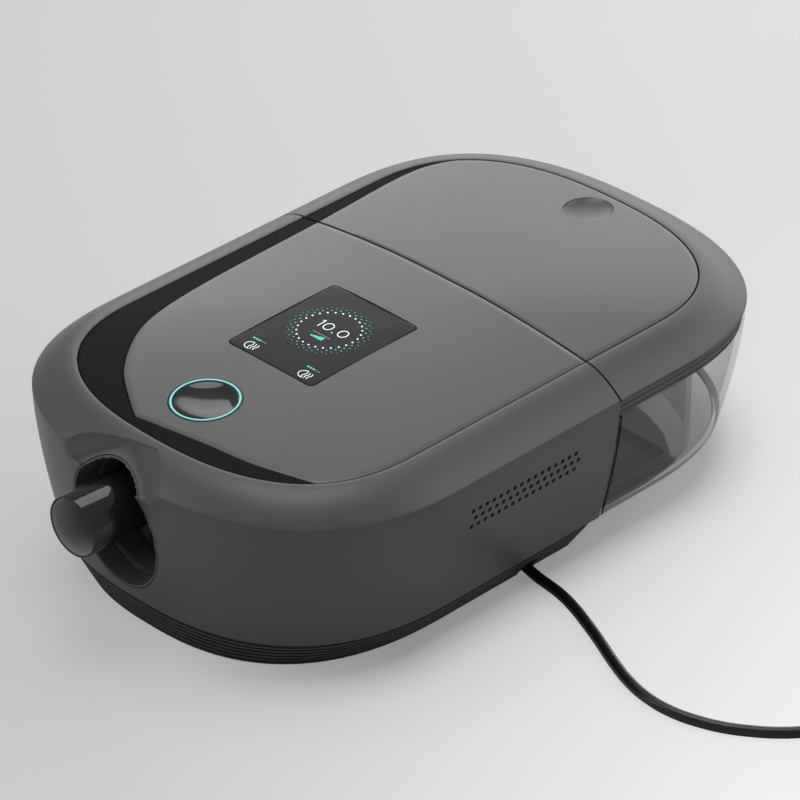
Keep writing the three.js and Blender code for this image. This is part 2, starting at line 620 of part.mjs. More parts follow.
// Push button: a dished cap in a lit ring, over a switch on its own board in a cup under the panel
const addButton = () => {
  const capTop = -gap;
  const capBottom = capTop - button.cap;
  const stemBottom = capBottom - button.stemLength;
  const dishShares = [0.93, 0.8, 0.6, 0.35, 0];
  const dished = dishShares.map((share) => [
    button.capRadius * share, capTop - button.dish * (1 - share * share)]);
  add('button_cap', atButton([
    [0, stemBottom], [button.stemRadius, stemBottom], [button.stemRadius, capBottom],
    [button.capRadius, capBottom], [button.capRadius, capTop], ...dished]), glassBlack());
  add('light_ring', atButton(ringProfile(button.capRadius + gap, ringOuter, -button.ringHeight, gap)), tealGlow());
  const boardTop = -button.ringHeight - gap;
  const boardBottom = boardTop - button.board;
  const boardRadius = ringOuter + gap;
  const puck = (radius, bottom, top) => [[0, bottom], [radius, bottom], [radius, top], [0, top]];
  const plunger = puck(button.stemRadius, boardTop + gap, stemBottom - button.travel - gap);
  add('button_switch', atButton(plunger, 12), steel());
  add('button_board', atButton(puck(boardRadius, boardBottom, boardTop)), boardGreen());
  const cupInner = boardRadius + gap;
  const cupFloor = boardBottom - gap;
  const cupTop = -dome.thickness - 2 * gap;
  add('button_cup', atButton([
    [0, cupFloor - button.cupWall], [cupInner + button.cupWall, cupFloor - button.cupWall],
    [cupInner + button.cupWall, cupTop], [cupInner, cupTop], [cupInner, cupFloor], [0, cupFloor]]), innerPlastic());
};

// Air outlet: a smoky tube in an oval, ribbed recess, with the hose's contacts beside it

const turnedAlongY = (profile, x, z, sides = 24) => solid(
  new THREE.LatheGeometry(profile.map(([r, y]) => new THREE.Vector2(r, y)), sides).translate(x, 0, z));

const addOutlet = () => {
  const floorInnerY = recessFloorY - recess.wall;
  const rings = [];
  for (let i = 0; i <= 2 * recess.ribs; i += 1) {
    const y = THREE.MathUtils.lerp(recessMouthY, floorInnerY, i / (2 * recess.ribs));
    rings.push(recessRing(-recess.wall - (i % 2) * recess.ribDepth, y));
  }
  const through = (x, z, radius, sides) => rod(
    [x, floorInnerY - overrun, z], [x, recessFloorY + overrun, z], radius, sides);
  add('port_liner', cut(
    recessColumn(0).intersect(loft(outerLevels)),
    solid(skin(rings)),
    through(outlet.x, outletZ, outlet.radius + gap, 20),
    through(contacts.x, contactsZ, contacts.height / 2, 12)), basePlastic());
  const mouthY = -shell.halfLength - outlet.reach;
  const lip = outlet.wall / 2;
  const flangeY = recessFloorY + gap;
  const bore = outlet.radius - outlet.wall;
  add('outlet_tube', turnedAlongY([
    [bore, mouthY + lip], [outlet.radius - lip, mouthY], [outlet.radius, mouthY + lip],
    [outlet.radius, flangeY], [outlet.flangeRadius, flangeY], [outlet.flangeRadius, flangeY + outlet.flange],
    [outlet.radius, flangeY + outlet.flange], [outlet.radius, outletRootY], [bore, outletRootY],
    [bore, mouthY + lip]], outlet.x, outletZ), smokyClear());
  const blockRootY = floorInnerY - gap;
  const blockTipY = blockRootY - contacts.length;
  const peg = rod([contacts.x, blockTipY + contacts.length / 2, contactsZ],
    [contacts.x, recessFloorY + gap, contactsZ], contacts.height / 2 - gap, 12);
  const pins = [-1, 0, 1].map((i) => contacts.x + i * contacts.pinPitch).map((x) => rod(
    [x, blockTipY - overrun, contactsZ], [x, blockTipY + contacts.length / 3, contactsZ],
    contacts.pinRadius, 8));
  add('hose_contacts', cut(
    join(
      box(contacts.x - contacts.width / 2, contacts.x + contacts.width / 2, blockTipY, blockRootY,
        contactsZ - contacts.height / 2, contactsZ + contacts.height / 2),
      peg),
    ...pins), blackTrim());
};

// Air intake behind the vents

const addFilter = () => {
  const middleY = ventsY + vents.pitch * (vents.columns - 0.5) / 2;
  const halfFrame = (size) => size / 2 + filter.frameWall + gap;
  const corners = [-1, 1].flatMap((side) => [-1, 1].map((end) => flankX(
    shellPlanAt(ventsZ + side * halfFrame(filter.height)), middleY + end * halfFrame(filter.length))));
  const wallX = Math.min(...corners) - shell.wall - gap;
  const block = (grow, back) => box(
    wallX - filter.depth - back, wallX, middleY - filter.length / 2 - grow, middleY + filter.length / 2 + grow,
    ventsZ - filter.height / 2 - grow, ventsZ + filter.height / 2 + grow);
  add('intake_filter', block(0, 0), foamGrey());
  const windowHalf = filter.length / 2 - filter.depth;
  const window = box(0, wallX, middleY - windowHalf, middleY + windowHalf,
    ventsZ - filter.height / 4, ventsZ + filter.height / 4);
  add('filter_frame', cut(
    block(filter.frameWall + gap, filter.frameWall + gap), block(gap, gap), window), innerPlastic());
};

// Blower: a volute in two halves round a wheel on the motor's shaft, on three soft mounts

const addBlower = () => {
  const { bottomZ, radius, wall } = blower;
  const [x, y, topZ, splitZ] = [blowerX, blowerY, blowerTopZ, blowerSplitZ];
  const spout = (shrink) => box(
    portX - blower.outletWidth / 2 + shrink, portX + blower.outletWidth / 2 - shrink,
    y, bulkheadFrontY - gap + shrink * 2,
    topZ - blower.outletHeight - 2 * wall + shrink, topZ - shrink);
  const towerOuter = motor.outerRadius + gap + wall;
  const towerTop = bottomZ + wall + gap + motor.height;
  add('blower_lower', turned([
    [motor.shaftRadius + gap, bottomZ], [radius, bottomZ], [radius, splitZ], [radius - wall, splitZ],
    [radius - wall, bottomZ + wall], [towerOuter, bottomZ + wall], [towerOuter, towerTop],
    [motor.outerRadius + gap, towerTop], [motor.outerRadius + gap, bottomZ + wall],
    [motor.shaftRadius + gap, bottomZ + wall], [motor.shaftRadius + gap, bottomZ]], x, y), innerPlastic());
  add('blower_upper', cut(
    join(turned(ringProfile(blower.inletRadius, radius, splitZ + gap, topZ), x, y), spout(0)),
    turned(ringProfile(0, radius - wall, splitZ - overrun, topZ - wall), x, y),
    spout(wall)), innerPlastic());
  const statorZ = bottomZ + wall + gap;
  add('motor_stator', turned(
    ringProfile(motor.innerRadius, motor.outerRadius, statorZ, statorZ + motor.height), x, y, 20), copper());
  const bearing = ringProfile(motor.shaftRadius + gap, motor.bearingRadius, statorZ, statorZ + motor.bearingHeight);
  add('motor_bearing', turned(bearing, x, y, 16), steel());
  addWheel(statorZ, splitZ + gap);
  mountPlaces.forEach((place, i) => add(
    `blower_mount_${i + 1}`, upright(place, mount.radius, mountZ + gap, bottomZ - gap), rubberBlack()));
  add('intake_foam', turned(
    ringProfile(foam.innerRadius, foam.outerRadius, topZ + gap, topZ + gap + foam.height), x, y, 20), foamGrey());
};

const addWheel = (shaftZ, discZ) => {
  const [x, y] = [blowerX, blowerY];
  const bladeZ = discZ + wheel.disc;
  const topZ = blowerTopZ - blower.wall - wheel.headroom;
  const bladeHeight = topZ - bladeZ;
  const core = turned([
    [0, shaftZ], [motor.shaftRadius, shaftZ], [motor.shaftRadius, discZ], [wheel.radius, discZ],
    [wheel.radius, bladeZ], [wheel.hubRadius, bladeZ], [wheel.hubRadius / 2, topZ], [0, topZ]], x, y, 24);
  const blades = [];
  for (let i = 0; i < wheel.blades; i += 1) {
    blades.push(solid(new THREE.BoxGeometry(wheel.radius - wheel.hubRadius, wheel.bladeWidth, bladeHeight)
      .translate((wheel.radius + wheel.hubRadius) / 2 - wheel.bladeWidth, 0, bladeZ + bladeHeight / 2 - gap)
      .rotateZ(2 * Math.PI * i / wheel.blades)
      .translate(x, y, 0)));
  }
  add('impeller', join(core, ...blades), innerPlastic());
};

// The duct that brings damp air from the tank's left port to the outlet tube
const ductShares = [[0, 0], [0, 0.2], [0.08, 0.42], [0.45, 0.66], [0.86, 0.84], [1, 0.94], [1, 1]];
const addDuct = () => {
  const start = new THREE.Vector3(-portX, bulkheadFrontY - gap, portZ);
  const end = new THREE.Vector3(outlet.x, outletRootY + gap, outletZ);
  const path = new THREE.CatmullRomCurve3(ductShares.map(([across, along]) => new THREE.Vector3(
    THREE.MathUtils.lerp(start.x, end.x, across),
    THREE.MathUtils.lerp(start.y, end.y, along),
    THREE.MathUtils.lerp(start.z, end.z, across))));
  const circle = (radius) => {
    const points = [];
    for (let i = 0; i < duct.sides; i += 1) {
      const angle = 2 * Math.PI * i / duct.sides;
      points.push(new THREE.Vector2(radius * Math.cos(angle), radius * Math.sin(angle)));
    }
    return points;
  };
  const ring = new THREE.Shape(circle(duct.radius));
  ring.holes.push(new THREE.Path(circle(duct.bore).reverse()));
  const swept = new THREE.ExtrudeGeometry(ring, { steps: duct.steps, extrudePath: path });
  add('return_duct', solid(swept), innerPlastic());
};

const addBoard = () => {
  const half = boardWidth / 2;
  const parts = [[-0.5, 0.55], [0.3, 0.5], [-0.2, -0.1], [0.45, -0.5]].map(([sx, sy]) => box(
    boardX + sx * half - board.partSize / 2, boardX + sx * half + board.partSize / 2,
    boardY + sy * board.depth / 2 - board.partSize / 2, boardY + sy * board.depth / 2 + board.partSize / 2,
    boardZ, boardZ + board.thickness + board.partHeight / 2));
  add('main_board', join(box(boardX - half, boardX + half, boardY - board.depth / 2, boardY + board.depth / 2,
    boardZ, boardZ + board.thickness), ...parts), boardGreen());
};

// Water tank: it rests on the platform's rails and slides out at the rear

const tubLevel = (z, by = 0) => ({ ...inset(shellPlanAt(z), by), z });
const tankSections = (z0, z1, by) => [z0, (2 * z0 + z1) / 3, (z0 + 2 * z1) / 3, z1].map((z) => tubLevel(z, by));

const addTub = () => {
  const outer = loft([
    tubLevel(tankBottomZ, tank.edge),
    ...tankSections(tankBottomZ + tank.edge, tankRimZ, 0),
  ]).intersect(aheadOf(rear));
  const inside = loft([
    ...tankSections(tankBottomZ + tank.wall, tankRimZ, tank.wall),
    { ...tubLevel(tankRimZ, tank.wall), z: tankRimZ + overrun }]).intersect(aheadOf(rear + tank.frontWall));
  const tipY = rear + tank.spoutLength;
  const spouts = [-1, 1].map((side) => portHole(side, duct.bore + tank.spoutWall, rear, tipY));
  const bores = [-1, 1].map((side) => portHole(side, duct.bore, rear - overrun, tipY + overrun, 16));
  add('tank_tub', cut(join(cut(outer, inside), ...spouts), ...bores), clearTank(), tankGroup);
};

const plate = (by, z0, z1) => box(
  by + heater.sideRoom - railInnerX, railInnerX - heater.sideRoom - by,
  rear + heater.frontInset + by, platformEndY - heater.rearInset - by, z0, z1);
const addHeater = () => {
  add('tank_base_plate', plate(0, railTopZ - tank.basePlate, railTopZ), steel(), tankGroup);
  add('heater_plate', plate(heater.margin, platformTopZ + gap, railTopZ - tank.basePlate - gap), steel());
};

// Curved walls inside the tank that keep the water from the air ports
const addBaffles = () => {
  const floorZ = tankBottomZ + tank.wall + gap;
  const room = inset(shellPlanAt(tankBottomZ + tank.wall), tank.wall);
  const wall = (outer, startY) => {
    const column = (by) => loft([floorZ, tankRimZ - tank.baffleDrop].map((z) => ({ ...inset(outer, by), z })));
    return cut(column(0), column(tank.baffleWall), behindOf(startY));
  };
  const outerLevel = {
    halfWidth: room.halfWidth - baffle.outerSideRoom,
    halfLength: room.halfLength - baffle.outerRearRoom,
    endDepth: baffle.outerEndDepth,
  };
  add('baffle_outer', wall(outerLevel, rear + tank.frontWall + gap), clearTank(), tankGroup);
  const innerY = rear + tank.spoutLength + tank.portRoom;
  add('baffle_inner', wall(scaled(room, baffle.innerShare), innerY), clearTank(), tankGroup);
};

const addTankSeal = () => {
  const low = tankRimZ + gap;
  const rows = [0, 0.2, 0.2, 0.36, 0.36, 0.62, 0.62, 0.8, 0.8, 1];
  const grooved = [0, 0, 1, 1, 0, 0, 1, 1, 0, 0];
  const outer = loft(rows.map((share, i) => {
    const z = low + tank.sealHeight * share;
    return { ...tubLevel(z, tank.sealInset + grooved[i] * tank.grooveDepth), z };
  }));
  const hole = loft([low - overrun, low + tank.sealHeight + overrun].map((z) => ({
    ...tubLevel(low, tank.sealInset + tank.sealWidth), z })));
  add('tank_seal', cut(
    outer.intersect(aheadOf(rear)), hole.intersect(aheadOf(rear + tank.sealWidth))), rubberBlack(), tankGroup);
};

const frameZ = tankRimZ + tank.sealHeight + 2 * gap;
const hingeY = rear + hinge.fromSeam;
const alongHinge = (x0, x1, radius, sides = 12) => rod(
  [x0, hingeY, hingeZ], [x1, hingeY, hingeZ], radius, sides);

const addTankFrame = () => {
  const frame = hollowShell().intersect(aheadOf(rear)).intersect(slab(frameZ, far));
  const bar = box(-far, far, rear, rear + tank.crossbar, frameZ, crossbarTopZ).intersect(loft(outerLevels));
  const ears = [-1, 1].map((side) => {
    const [x0, x1] = [side * hinge.earX - hinge.earWidth / 2, side * hinge.earX + hinge.earWidth / 2];
    return join(
      box(x0, x1, hingeY - hinge.earRadius, hingeY + hinge.earRadius, crossbarTopZ - overrun / 2, hingeZ),
      alongHinge(x0, x1, hinge.earRadius, 16));
  });
  const bored = cut(join(frame, bar, ...ears), alongHinge(-far, far, hinge.boreRadius));
  add('tank_frame', bored, housingGrey(), tankGroup);
  add('hinge_pin', alongHinge(-hinge.pinReach, hinge.pinReach, hinge.pinRadius), steel(), tankGroup);
};

// Lid: a crowned panel with a finger scoop at its rear, hinged at the seam, with a liner and a gasket below

const addLid = () => {
  const sheet = domeSheet(0, dome.thickness).intersect(panelColumn()).intersect(openingColumn(lid.rearGap));
  const pad = scoopBowl(scoop.pad).intersect(domeBody(dome.thickness / 2));
  const barrel = alongHinge(-hinge.pinReach - gap, hinge.pinReach + gap, hinge.barrelRadius, 16);
  const notches = [-1, 1].map((side) => box(
    side * hinge.earX - hinge.earWidth / 2 - gap, side * hinge.earX + hinge.earWidth / 2 + gap,
    0, hingeY + hinge.barrelRadius + gap, 0, far));
  const chamfer = solid(new THREE.BoxGeometry(2 * far, lid.chamfer * 2, lid.chamfer * 2)
    .rotateX(Math.PI / 4)
    .translate(0, rear, domeZ(0) + gap));
  add('lid_panel', cut(
    join(sheet, pad, barrel),
    scoopBowl(0),
    behindOf(rear),
    ...notches,
    chamfer,
    alongHinge(-hinge.pinReach - 2 * gap, hinge.pinReach + 2 * gap, hinge.boreRadius)), housingGrey(), lidGroup);
  const topZ = scoopZ - scoop.depth - scoop.pad - gap;
  // Moves in from the gasket's outer edge by a step, and stays clear of the crescent and the hinge bar
  const below = (step, z0, z1) => cut(
    prism(plan(inset(rimPlan, lid.gasketInset + step)), z0, z1)
      .intersect(panelColumn().translate([gap + step, 0, 0])),
    behindOf(rear + tank.crossbar + lid.barGap + step));
  add('lid_liner', below(lid.gasketWidth + gap, topZ - lid.liner, topZ), innerPlastic(), lidGroup);
  const gasket = below(0, topZ - lid.gasket, topZ);
  const hole = below(lid.gasketWidth, topZ - lid.gasket - overrun, topZ + overrun);
  add('lid_gasket', cut(gasket, hole), rubberBlack(), lidGroup);
};

// Supply lead: plug in the channel under the base, lead over the table, coil and wall adapter

const leadGroup = new THREE.Group();
group.add(leadGroup);
const alongX = (profile) => solid(new THREE.LatheGeometry(profile.map(([r, x]) => new THREE.Vector2(r, x)), 16)
  .rotateZ(-Math.PI / 2)
  .translate(0, plug.y, plug.z));

const addPlug = () => {
  const bodyX = socketX + plug.socketLength + gap;
  const bootX = bodyX + plug.bodyLength + gap;
  const half = channelHalf - gap;
  add('dc_socket', cut(
    box(socketX, socketX + plug.socketLength, plug.y - half, plug.y + half, gap + base.bottomZ, plug.z + half),
    alongX([[0, bodyX - plug.tipLength - gap], [plug.tipRadius + gap, bodyX - plug.tipLength - gap],
      [plug.tipRadius + gap, bodyX + overrun], [0, bodyX + overrun]])), blackTrim());
  add('dc_plug', alongX([
    [0, bodyX - plug.tipLength], [plug.tipRadius, bodyX - plug.tipLength], [plug.tipRadius, bodyX],
    [plug.bodyRadius, bodyX], [plug.bodyRadius, bootX - gap], [0, bootX - gap]]), cordBlack());
  add('plug_boot', alongX([
    [0, bootX], [plug.bootRootRadius, bootX], [plug.bootTipRadius, bootX + plug.bootLength],
    [0, bootX + plug.bootLength]]), cordBlack());
};

const addLead = () => {
  const section = [];
  for (let i = 0; i < cord.sides; i += 1) {
    const angle = 2 * Math.PI * i / cord.sides;
    section.push(new THREE.Vector2(cord.radius * Math.cos(angle), cord.radius * Math.sin(angle)));
  }
  const path = new THREE.CatmullRomCurve3(cordRoute.map((point) => new THREE.Vector3(...point)));
  add('cord_run', solid(new THREE.ExtrudeGeometry(
    new THREE.Shape(section), { steps: cord.steps, extrudePath: path })), cordBlack(), leadGroup);
  return path.getLength();
};

const heading = THREE.MathUtils.degToRad(coil.heading);
const ahead = new THREE.Vector3(Math.cos(heading), Math.sin(heading), 0);
const coilAngle = heading + Math.PI / 2;
const smooth = (value) => value * value * (3 - 2 * value);

// The coil spirals in and out in piled layers and climbs in the half turn where the spiral turns back
const coilPoint = (turns) => {
  const leg = Math.min(coil.layers - 1, Math.floor(turns / coil.turnsPerLayer));
  const into = turns - leg * coil.turnsPerLayer;
  const inward = leg % 2 === 0 ? into : coil.turnsPerLayer - into;
  const radius = coil.outerRadius - coil.pitch * inward;
  let level = leg;
  for (let reversal = 1; reversal < coil.layers; reversal += 1) {
    const distance = turns - reversal * coil.turnsPerLayer;
    if (Math.abs(distance) < 0.25) {
      level = reversal - 1 + smooth((distance + 0.25) * 2);
    }
  }
  const angle = coilAngle - 2 * Math.PI * turns;
  return new THREE.Vector3(
    coil.x + radius * Math.cos(angle), coil.y + radius * Math.sin(angle), coil.startZ + coil.pitch * level);
};

const addCoil = () => {
  const total = coil.layers * coil.turnsPerLayer;
  const points = [];
  for (let i = 0; i <= total * coil.stepsPerTurn; i += 1) {
    points.push(coilPoint(i / coil.stepsPerTurn));
  }
  const turnsOnly = [...points];
  points.unshift(points[0].clone().addScaledVector(ahead, -coil.lead));
  points.push(points[points.length - 1].clone().addScaledVector(ahead, coil.tail));
  const up = new THREE.Vector3(0, 0, 1);
  const rings = points.map((point, i) => {
    const before = points[Math.max(0, i - 1)];
    const after = points[Math.min(points.length - 1, i + 1)];
    const along = after.clone().sub(before).normalize();
    const side = along.clone().cross(up).normalize();
    const over = side.clone().cross(along);
    const ring = [];
    for (let k = 0; k < coil.sides; k += 1) {
      const angle = 2 * Math.PI * (k + 0.5) / coil.sides;
      const at = point.clone()
        .addScaledVector(side, cord.radius * Math.cos(angle))
        .addScaledVector(over, cord.radius * Math.sin(angle));
      ring.push([at.x, at.y, at.z]);
    }
    return ring;
  });
  add('cord_coil', solid(skin(rings)), cordBlack(), leadGroup);
  return { points, turnsOnly };
};

const selfGap = (points) => {
  let least = Infinity;
  points.forEach((point, i) => points.slice(i + coil.stepsPerTurn / 2).forEach((other) => {
    least = Math.min(least, point.distanceTo(other));
  }));
  return least - 2 * cord.radius;
};

const addTie = () => {
  const angle = coilAngle - 2 * Math.PI * tie.turnShare;
  const low = coil.startZ - cord.radius - gap;
  const high = coil.startZ + coil.pitch * (coil.layers - 1) + cord.radius + gap;
  const outer = coil.outerRadius + cord.radius + tie.room;
  const inner = coil.outerRadius - coil.pitch * coil.turnsPerLayer - cord.radius - tie.room;
  const frame = (grow, width) => new THREE.BoxGeometry(outer - inner + 2 * grow, width, high - low + 2 * grow)
    .translate((outer + inner) / 2, 0, (high + low) / 2)
    .rotateZ(angle)
    .translate(coil.x, coil.y, 0);
  const band = cut(solid(frame(tie.thickness, tie.width)), solid(frame(0, tie.width + overrun)));
  add('cord_tie', band, rubberBlack(), leadGroup);
};

const addAdapter = () => {
  const tailZ = coil.startZ + coil.pitch * (coil.layers - 1);
  const start = coilPoint(coil.layers * coil.turnsPerLayer).addScaledVector(ahead, coil.tail + gap);
  const place = (geometry) => solid(geometry.rotateZ(heading).translate(start.x, start.y, 0));
  const cone = [
    [0, 0], [adapter.bootTipRadius, 0], [adapter.bootRootRadius, adapter.bootLength], [0, adapter.bootLength],
  ];
  const boot = new THREE.LatheGeometry(cone.map(([r, x]) => new THREE.Vector2(r, x)), 16)
    .rotateZ(-Math.PI / 2)
    .translate(0, 0, tailZ);
  add('adapter_boot', place(boot), cordBlack(), leadGroup);
  const half = adapter.width / 2;
  const outline = new THREE.Shape();
  outline.moveTo(-half + adapter.corner, 0);
  outline.absarc(half - adapter.corner, adapter.corner, adapter.corner, -Math.PI / 2, 0);
  outline.absarc(half - adapter.corner, 2 * tailZ - adapter.corner, adapter.corner, 0, Math.PI / 2);
  outline.absarc(-half + adapter.corner, 2 * tailZ - adapter.corner, adapter.corner, Math.PI / 2, Math.PI);
  outline.absarc(-half + adapter.corner, adapter.corner, adapter.corner, Math.PI, 3 * Math.PI / 2);
  const bodyX = adapter.bootLength + gap;
  const body = new THREE.ExtrudeGeometry(outline, { depth: adapter.length, bevelEnabled: false, curveSegments: 4 })
    .rotateX(Math.PI / 2)
    .rotateZ(Math.PI / 2)
    .translate(bodyX, 0, 0);
  const blades = [-1, 1].map((side) => place(new THREE.BoxGeometry(
    adapter.bladeLength * 2, adapter.bladeThickness, adapter.bladeWidth)
    .translate(bodyX + adapter.length, side * adapter.bladeSpacing / 2, tailZ)));
  add('wall_adapter', join(place(body), ...blades), blackTrim(), leadGroup);
};

// Assembly

addBase();
addPlatform();
addFeetAndScrews();
addShell();
addBulkhead();
addTopPanels();
addButton();
addOutlet();
addFilter();
addBlower();
addDuct();
addBoard();
addTub();
addHeater();
addBaffles();
addTankSeal();
addTankFrame();
addLid();
addPlug();
const runLength = addLead();
const { points: coilPoints, turnsOnly } = addCoil();
addTie();
addAdapter();
const coilLength = coilPoints.slice(1).reduce((sum, point, i) => sum + point.distanceTo(coilPoints[i]), 0);
const leadLength = (runLength + coilLength).toFixed(0);
console.log(`lead ${leadLength} mm, least gap between turns ${selfGap(turnsOnly).toFixed(2)} mm`);

export default group;
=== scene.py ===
# Dresses the bedside breathing machine: smooth housing, crowned panels, lit button,
# colour display, smoky outlet, clear water tank and the supply lead on a pale table.

import json
import math
from itertools import accumulate

import bmesh
import bpy
from mathutils import Matrix, Vector


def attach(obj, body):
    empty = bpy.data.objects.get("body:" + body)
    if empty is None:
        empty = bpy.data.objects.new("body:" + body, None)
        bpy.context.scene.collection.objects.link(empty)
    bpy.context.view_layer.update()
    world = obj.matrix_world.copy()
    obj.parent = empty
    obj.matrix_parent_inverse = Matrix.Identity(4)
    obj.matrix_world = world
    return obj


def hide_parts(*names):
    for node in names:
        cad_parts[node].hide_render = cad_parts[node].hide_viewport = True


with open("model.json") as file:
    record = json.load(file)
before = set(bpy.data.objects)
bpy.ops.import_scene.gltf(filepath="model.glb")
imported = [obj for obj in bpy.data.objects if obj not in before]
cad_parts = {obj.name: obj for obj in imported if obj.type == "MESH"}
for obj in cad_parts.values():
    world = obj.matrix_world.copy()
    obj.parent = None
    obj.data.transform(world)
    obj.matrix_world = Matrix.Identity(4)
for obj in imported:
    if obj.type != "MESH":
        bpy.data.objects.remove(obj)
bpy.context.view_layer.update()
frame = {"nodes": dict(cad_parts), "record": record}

MM = 0.001
SHIFT = 6.5          # how far the drawing's own middle lies behind the frame's origin, in mm
GAP = 0.3
LOOK = {}


# Drawing the housing's outlines, in millimetres

FOOT = dict(width=76.5, length=122.6, depth=75, y=0, z=14.6)
SHOULDER = dict(width=85.2, length=128, depth=75, y=0, z=66)
RIM = dict(width=68.9, length=111.9, depth=54, y=-0.9, z=74.4)
END_POWER, WALL_POWER, SHOULDER_POWER = 2.5, 1.57, 1.8
CREASE_Z, CREASE_SHARE = 65.6, 0.035
DOME_RISE = 4.9
WALL, PANEL, LEDGE = 2.5, 2.5, 4
SEAM_FRONT, SEAM_REAR = 22.9, 23.7
BUTTON = (-2.5, -86.7)
SCREEN = (-2.0, -32.3, 41, 51)


def circle(sides):
    """The angles of a round piece's sides."""
    return [math.tau * i / sides for i in range(sides)]


def square_curve(value):
    return math.copysign(abs(value) ** (2 / END_POWER), value)


def even_places(run, count):
    """Where evenly spread points lie on a line, from how far along it each of its own points is."""
    places, k = [], 0
    for i in range(count):
        target = run[-1] * i / (count - 1)
        while k < len(run) - 2 and run[k + 1] < target:
            k += 1
        span = max(run[k + 1] - run[k], 1e-9)
        places.append((k, min(1, max(0, (target - run[k]) / span))))
    return places


def even_angles(width, depth, count, fine_steps=2000):
    """Angles that spread points evenly round one squarish end."""
    fine = [math.pi * i / fine_steps for i in range(fine_steps + 1)]
    points = [(width * square_curve(math.cos(a)), depth * square_curve(math.sin(a))) for a in fine]
    run = list(accumulate(map(math.dist, points, points[1:]), initial=0.0))
    return [fine[k] + (fine[k + 1] - fine[k]) * share for k, share in even_places(run, count)]


END_ANGLES = even_angles(80, 65, 57)          # for an end about as wide and deep as the housing's


def inset(level, by, z=None):
    """A level moved in, and to another height where one is given."""
    return dict(level, width=level["width"] - by, length=level["length"] - by, depth=level["depth"] - by,
                z=level["z"] if z is None else z)


def mixed(a, b, share, z):
    """A level between two others, at a height of its own."""
    return dict({key: a[key] + (b[key] - a[key]) * share for key in a}, z=z)


def plan(level, flank_steps=28):
    """One level of the housing: straight flanks and squarish rounded ends."""
    points = []
    flank = level["length"] - level["depth"]
    for end in (1, -1):
        for angle in END_ANGLES:
            points.append((end * level["width"] * square_curve(math.cos(angle)),
                           level["y"] + end * (flank + level["depth"] * square_curve(math.sin(angle)))))
        for i in range(1, flank_steps):
            points.append((-end * level["width"], level["y"] + end * flank * (1 - 2 * i / flank_steps)))
    return points


def ring(level):
    return [(x, y, level["z"]) for x, y in plan(level)]


def wall_level(z):
    rise = (z - FOOT["z"]) / (SHOULDER["z"] - FOOT["z"])
    return mixed(FOOT, SHOULDER, 1 - (1 - min(1, rise)) ** WALL_POWER, z)


def shoulder_level(share):
    rise = 1 - (1 - share) ** SHOULDER_POWER
    return mixed(SHOULDER, RIM, share, SHOULDER["z"] + (RIM["z"] - SHOULDER["z"]) * rise)


def rounded(before, corner, after, steps):
    """Levels that turn a corner of the housing's section softly."""
    turn = []
    for i in range(steps + 1):
        t = i / steps
        turn.append({key: (1 - t) ** 2 * before[key] + 2 * t * (1 - t) * corner[key] + t * t * after[key]
                     for key in corner})
    return turn


def outer_levels(low):
    """The outside from a height up to the rim of the top opening."""
    steps = 12 if low < CREASE_Z - 1 else 0
    walls = [wall_level(low + (CREASE_Z - low) * i / steps) for i in range(steps)]
    edge = rounded(wall_level(max(low, CREASE_Z)), SHOULDER, shoulder_level(CREASE_SHARE), 3)
    top = [shoulder_level(0.1 + 0.9 * i / 9) for i in range(9)]
    lip = rounded(shoulder_level(0.985), RIM, dict(RIM, z=RIM["z"] - 0.35), 3)
    return walls + edge + top + lip


def hollow_levels(low):
    """The closed section of the housing's wall, round the outside and back down the inside."""
    ledge = RIM["z"] - PANEL - GAP
    step = [dict(RIM, z=ledge), inset(RIM, LEDGE, ledge), inset(RIM, LEDGE, ledge - WALL)]
    inner = [shoulder_level(share) for share in (0.45, 0.3, 0.15, 0)]
    inner = [inset(level, WALL, level["z"] - WALL) for level in inner]
    inner += [inset(wall_level(z), WALL) for z in (60, 50, 38, 26)]
    inner = [level for level in inner if level["z"] > low]
    return outer_levels(low) + step + inner + [inset(wall_level(low), WALL)]


def dome_share(x, y):
    """How far out a point lies on the crowned top, from 0 in the middle to 1 at the rim."""
    x, y = abs(x), abs(y - RIM["y"])
    flank = RIM["length"] - RIM["depth"]
    low, high = 0.0, 2.0
    for _ in range(40):
        share = (low + high) / 2
        over = y - share * flank
        inside = x < share * RIM["width"] if over <= 0 else (
            (x / (share * RIM["width"])) ** END_POWER + (over / (share * RIM["depth"])) ** END_POWER < 1)
        low, high = (low, share) if inside else (share, high)
    return (low + high) / 2


def dome_z(x, y):
    return RIM["z"] + DOME_RISE * (1 - dome_share(x, y) ** 2)


# The line of the panels' left and front edge, as shares of the rim

EDGE_SHARES = [(-0.6, 1.02), (-0.74, 0.92), (-0.82, 0.85), (-0.9, 0.76), (-0.933, 0.61), (-0.893, 0.22),
               (-0.875, -0.07), (-0.856, -0.3), (-0.819, -0.484), (-0.765, -0.61), (-0.668, -0.718),
               (-0.531, -0.82), (-0.38, -0.89), (-0.2, -0.96)]
FRONT_SHARES = [(-0.2, -0.96), (0.218, -0.92), (0.528, -0.892), (0.891, -0.82), (1.05, -0.77)]


def spline(points, steps):
    """A smooth curve through points, the same count of steps between all of them."""
    made = []
    last = len(points) - 1
    for i in range(steps + 1):
        at = last * i / steps
        k = min(int(at), last - 1)
        t = at - k
        p = [Vector(points[min(last, max(0, k + d))]) for d in (-1, 0, 1, 2)]
        v0, v1 = (p[2] - p[0]) / 2, (p[3] - p[1]) / 2
        made.append((2 * p[1] - 2 * p[2] + v0 + v1) * t ** 3 + (-3 * p[1] + 3 * p[2] - 2 * v0 - v1) * t ** 2
                    + v0 * t + p[1])
    return made


def panel_edge():
    left, front = ([(x * RIM["width"], y * RIM["length"] + RIM["y"]) for x, y in shares]
                   for shares in (EDGE_SHARES, FRONT_SHARES))
    return spline(left, 260) + spline(front, 80)[1:]


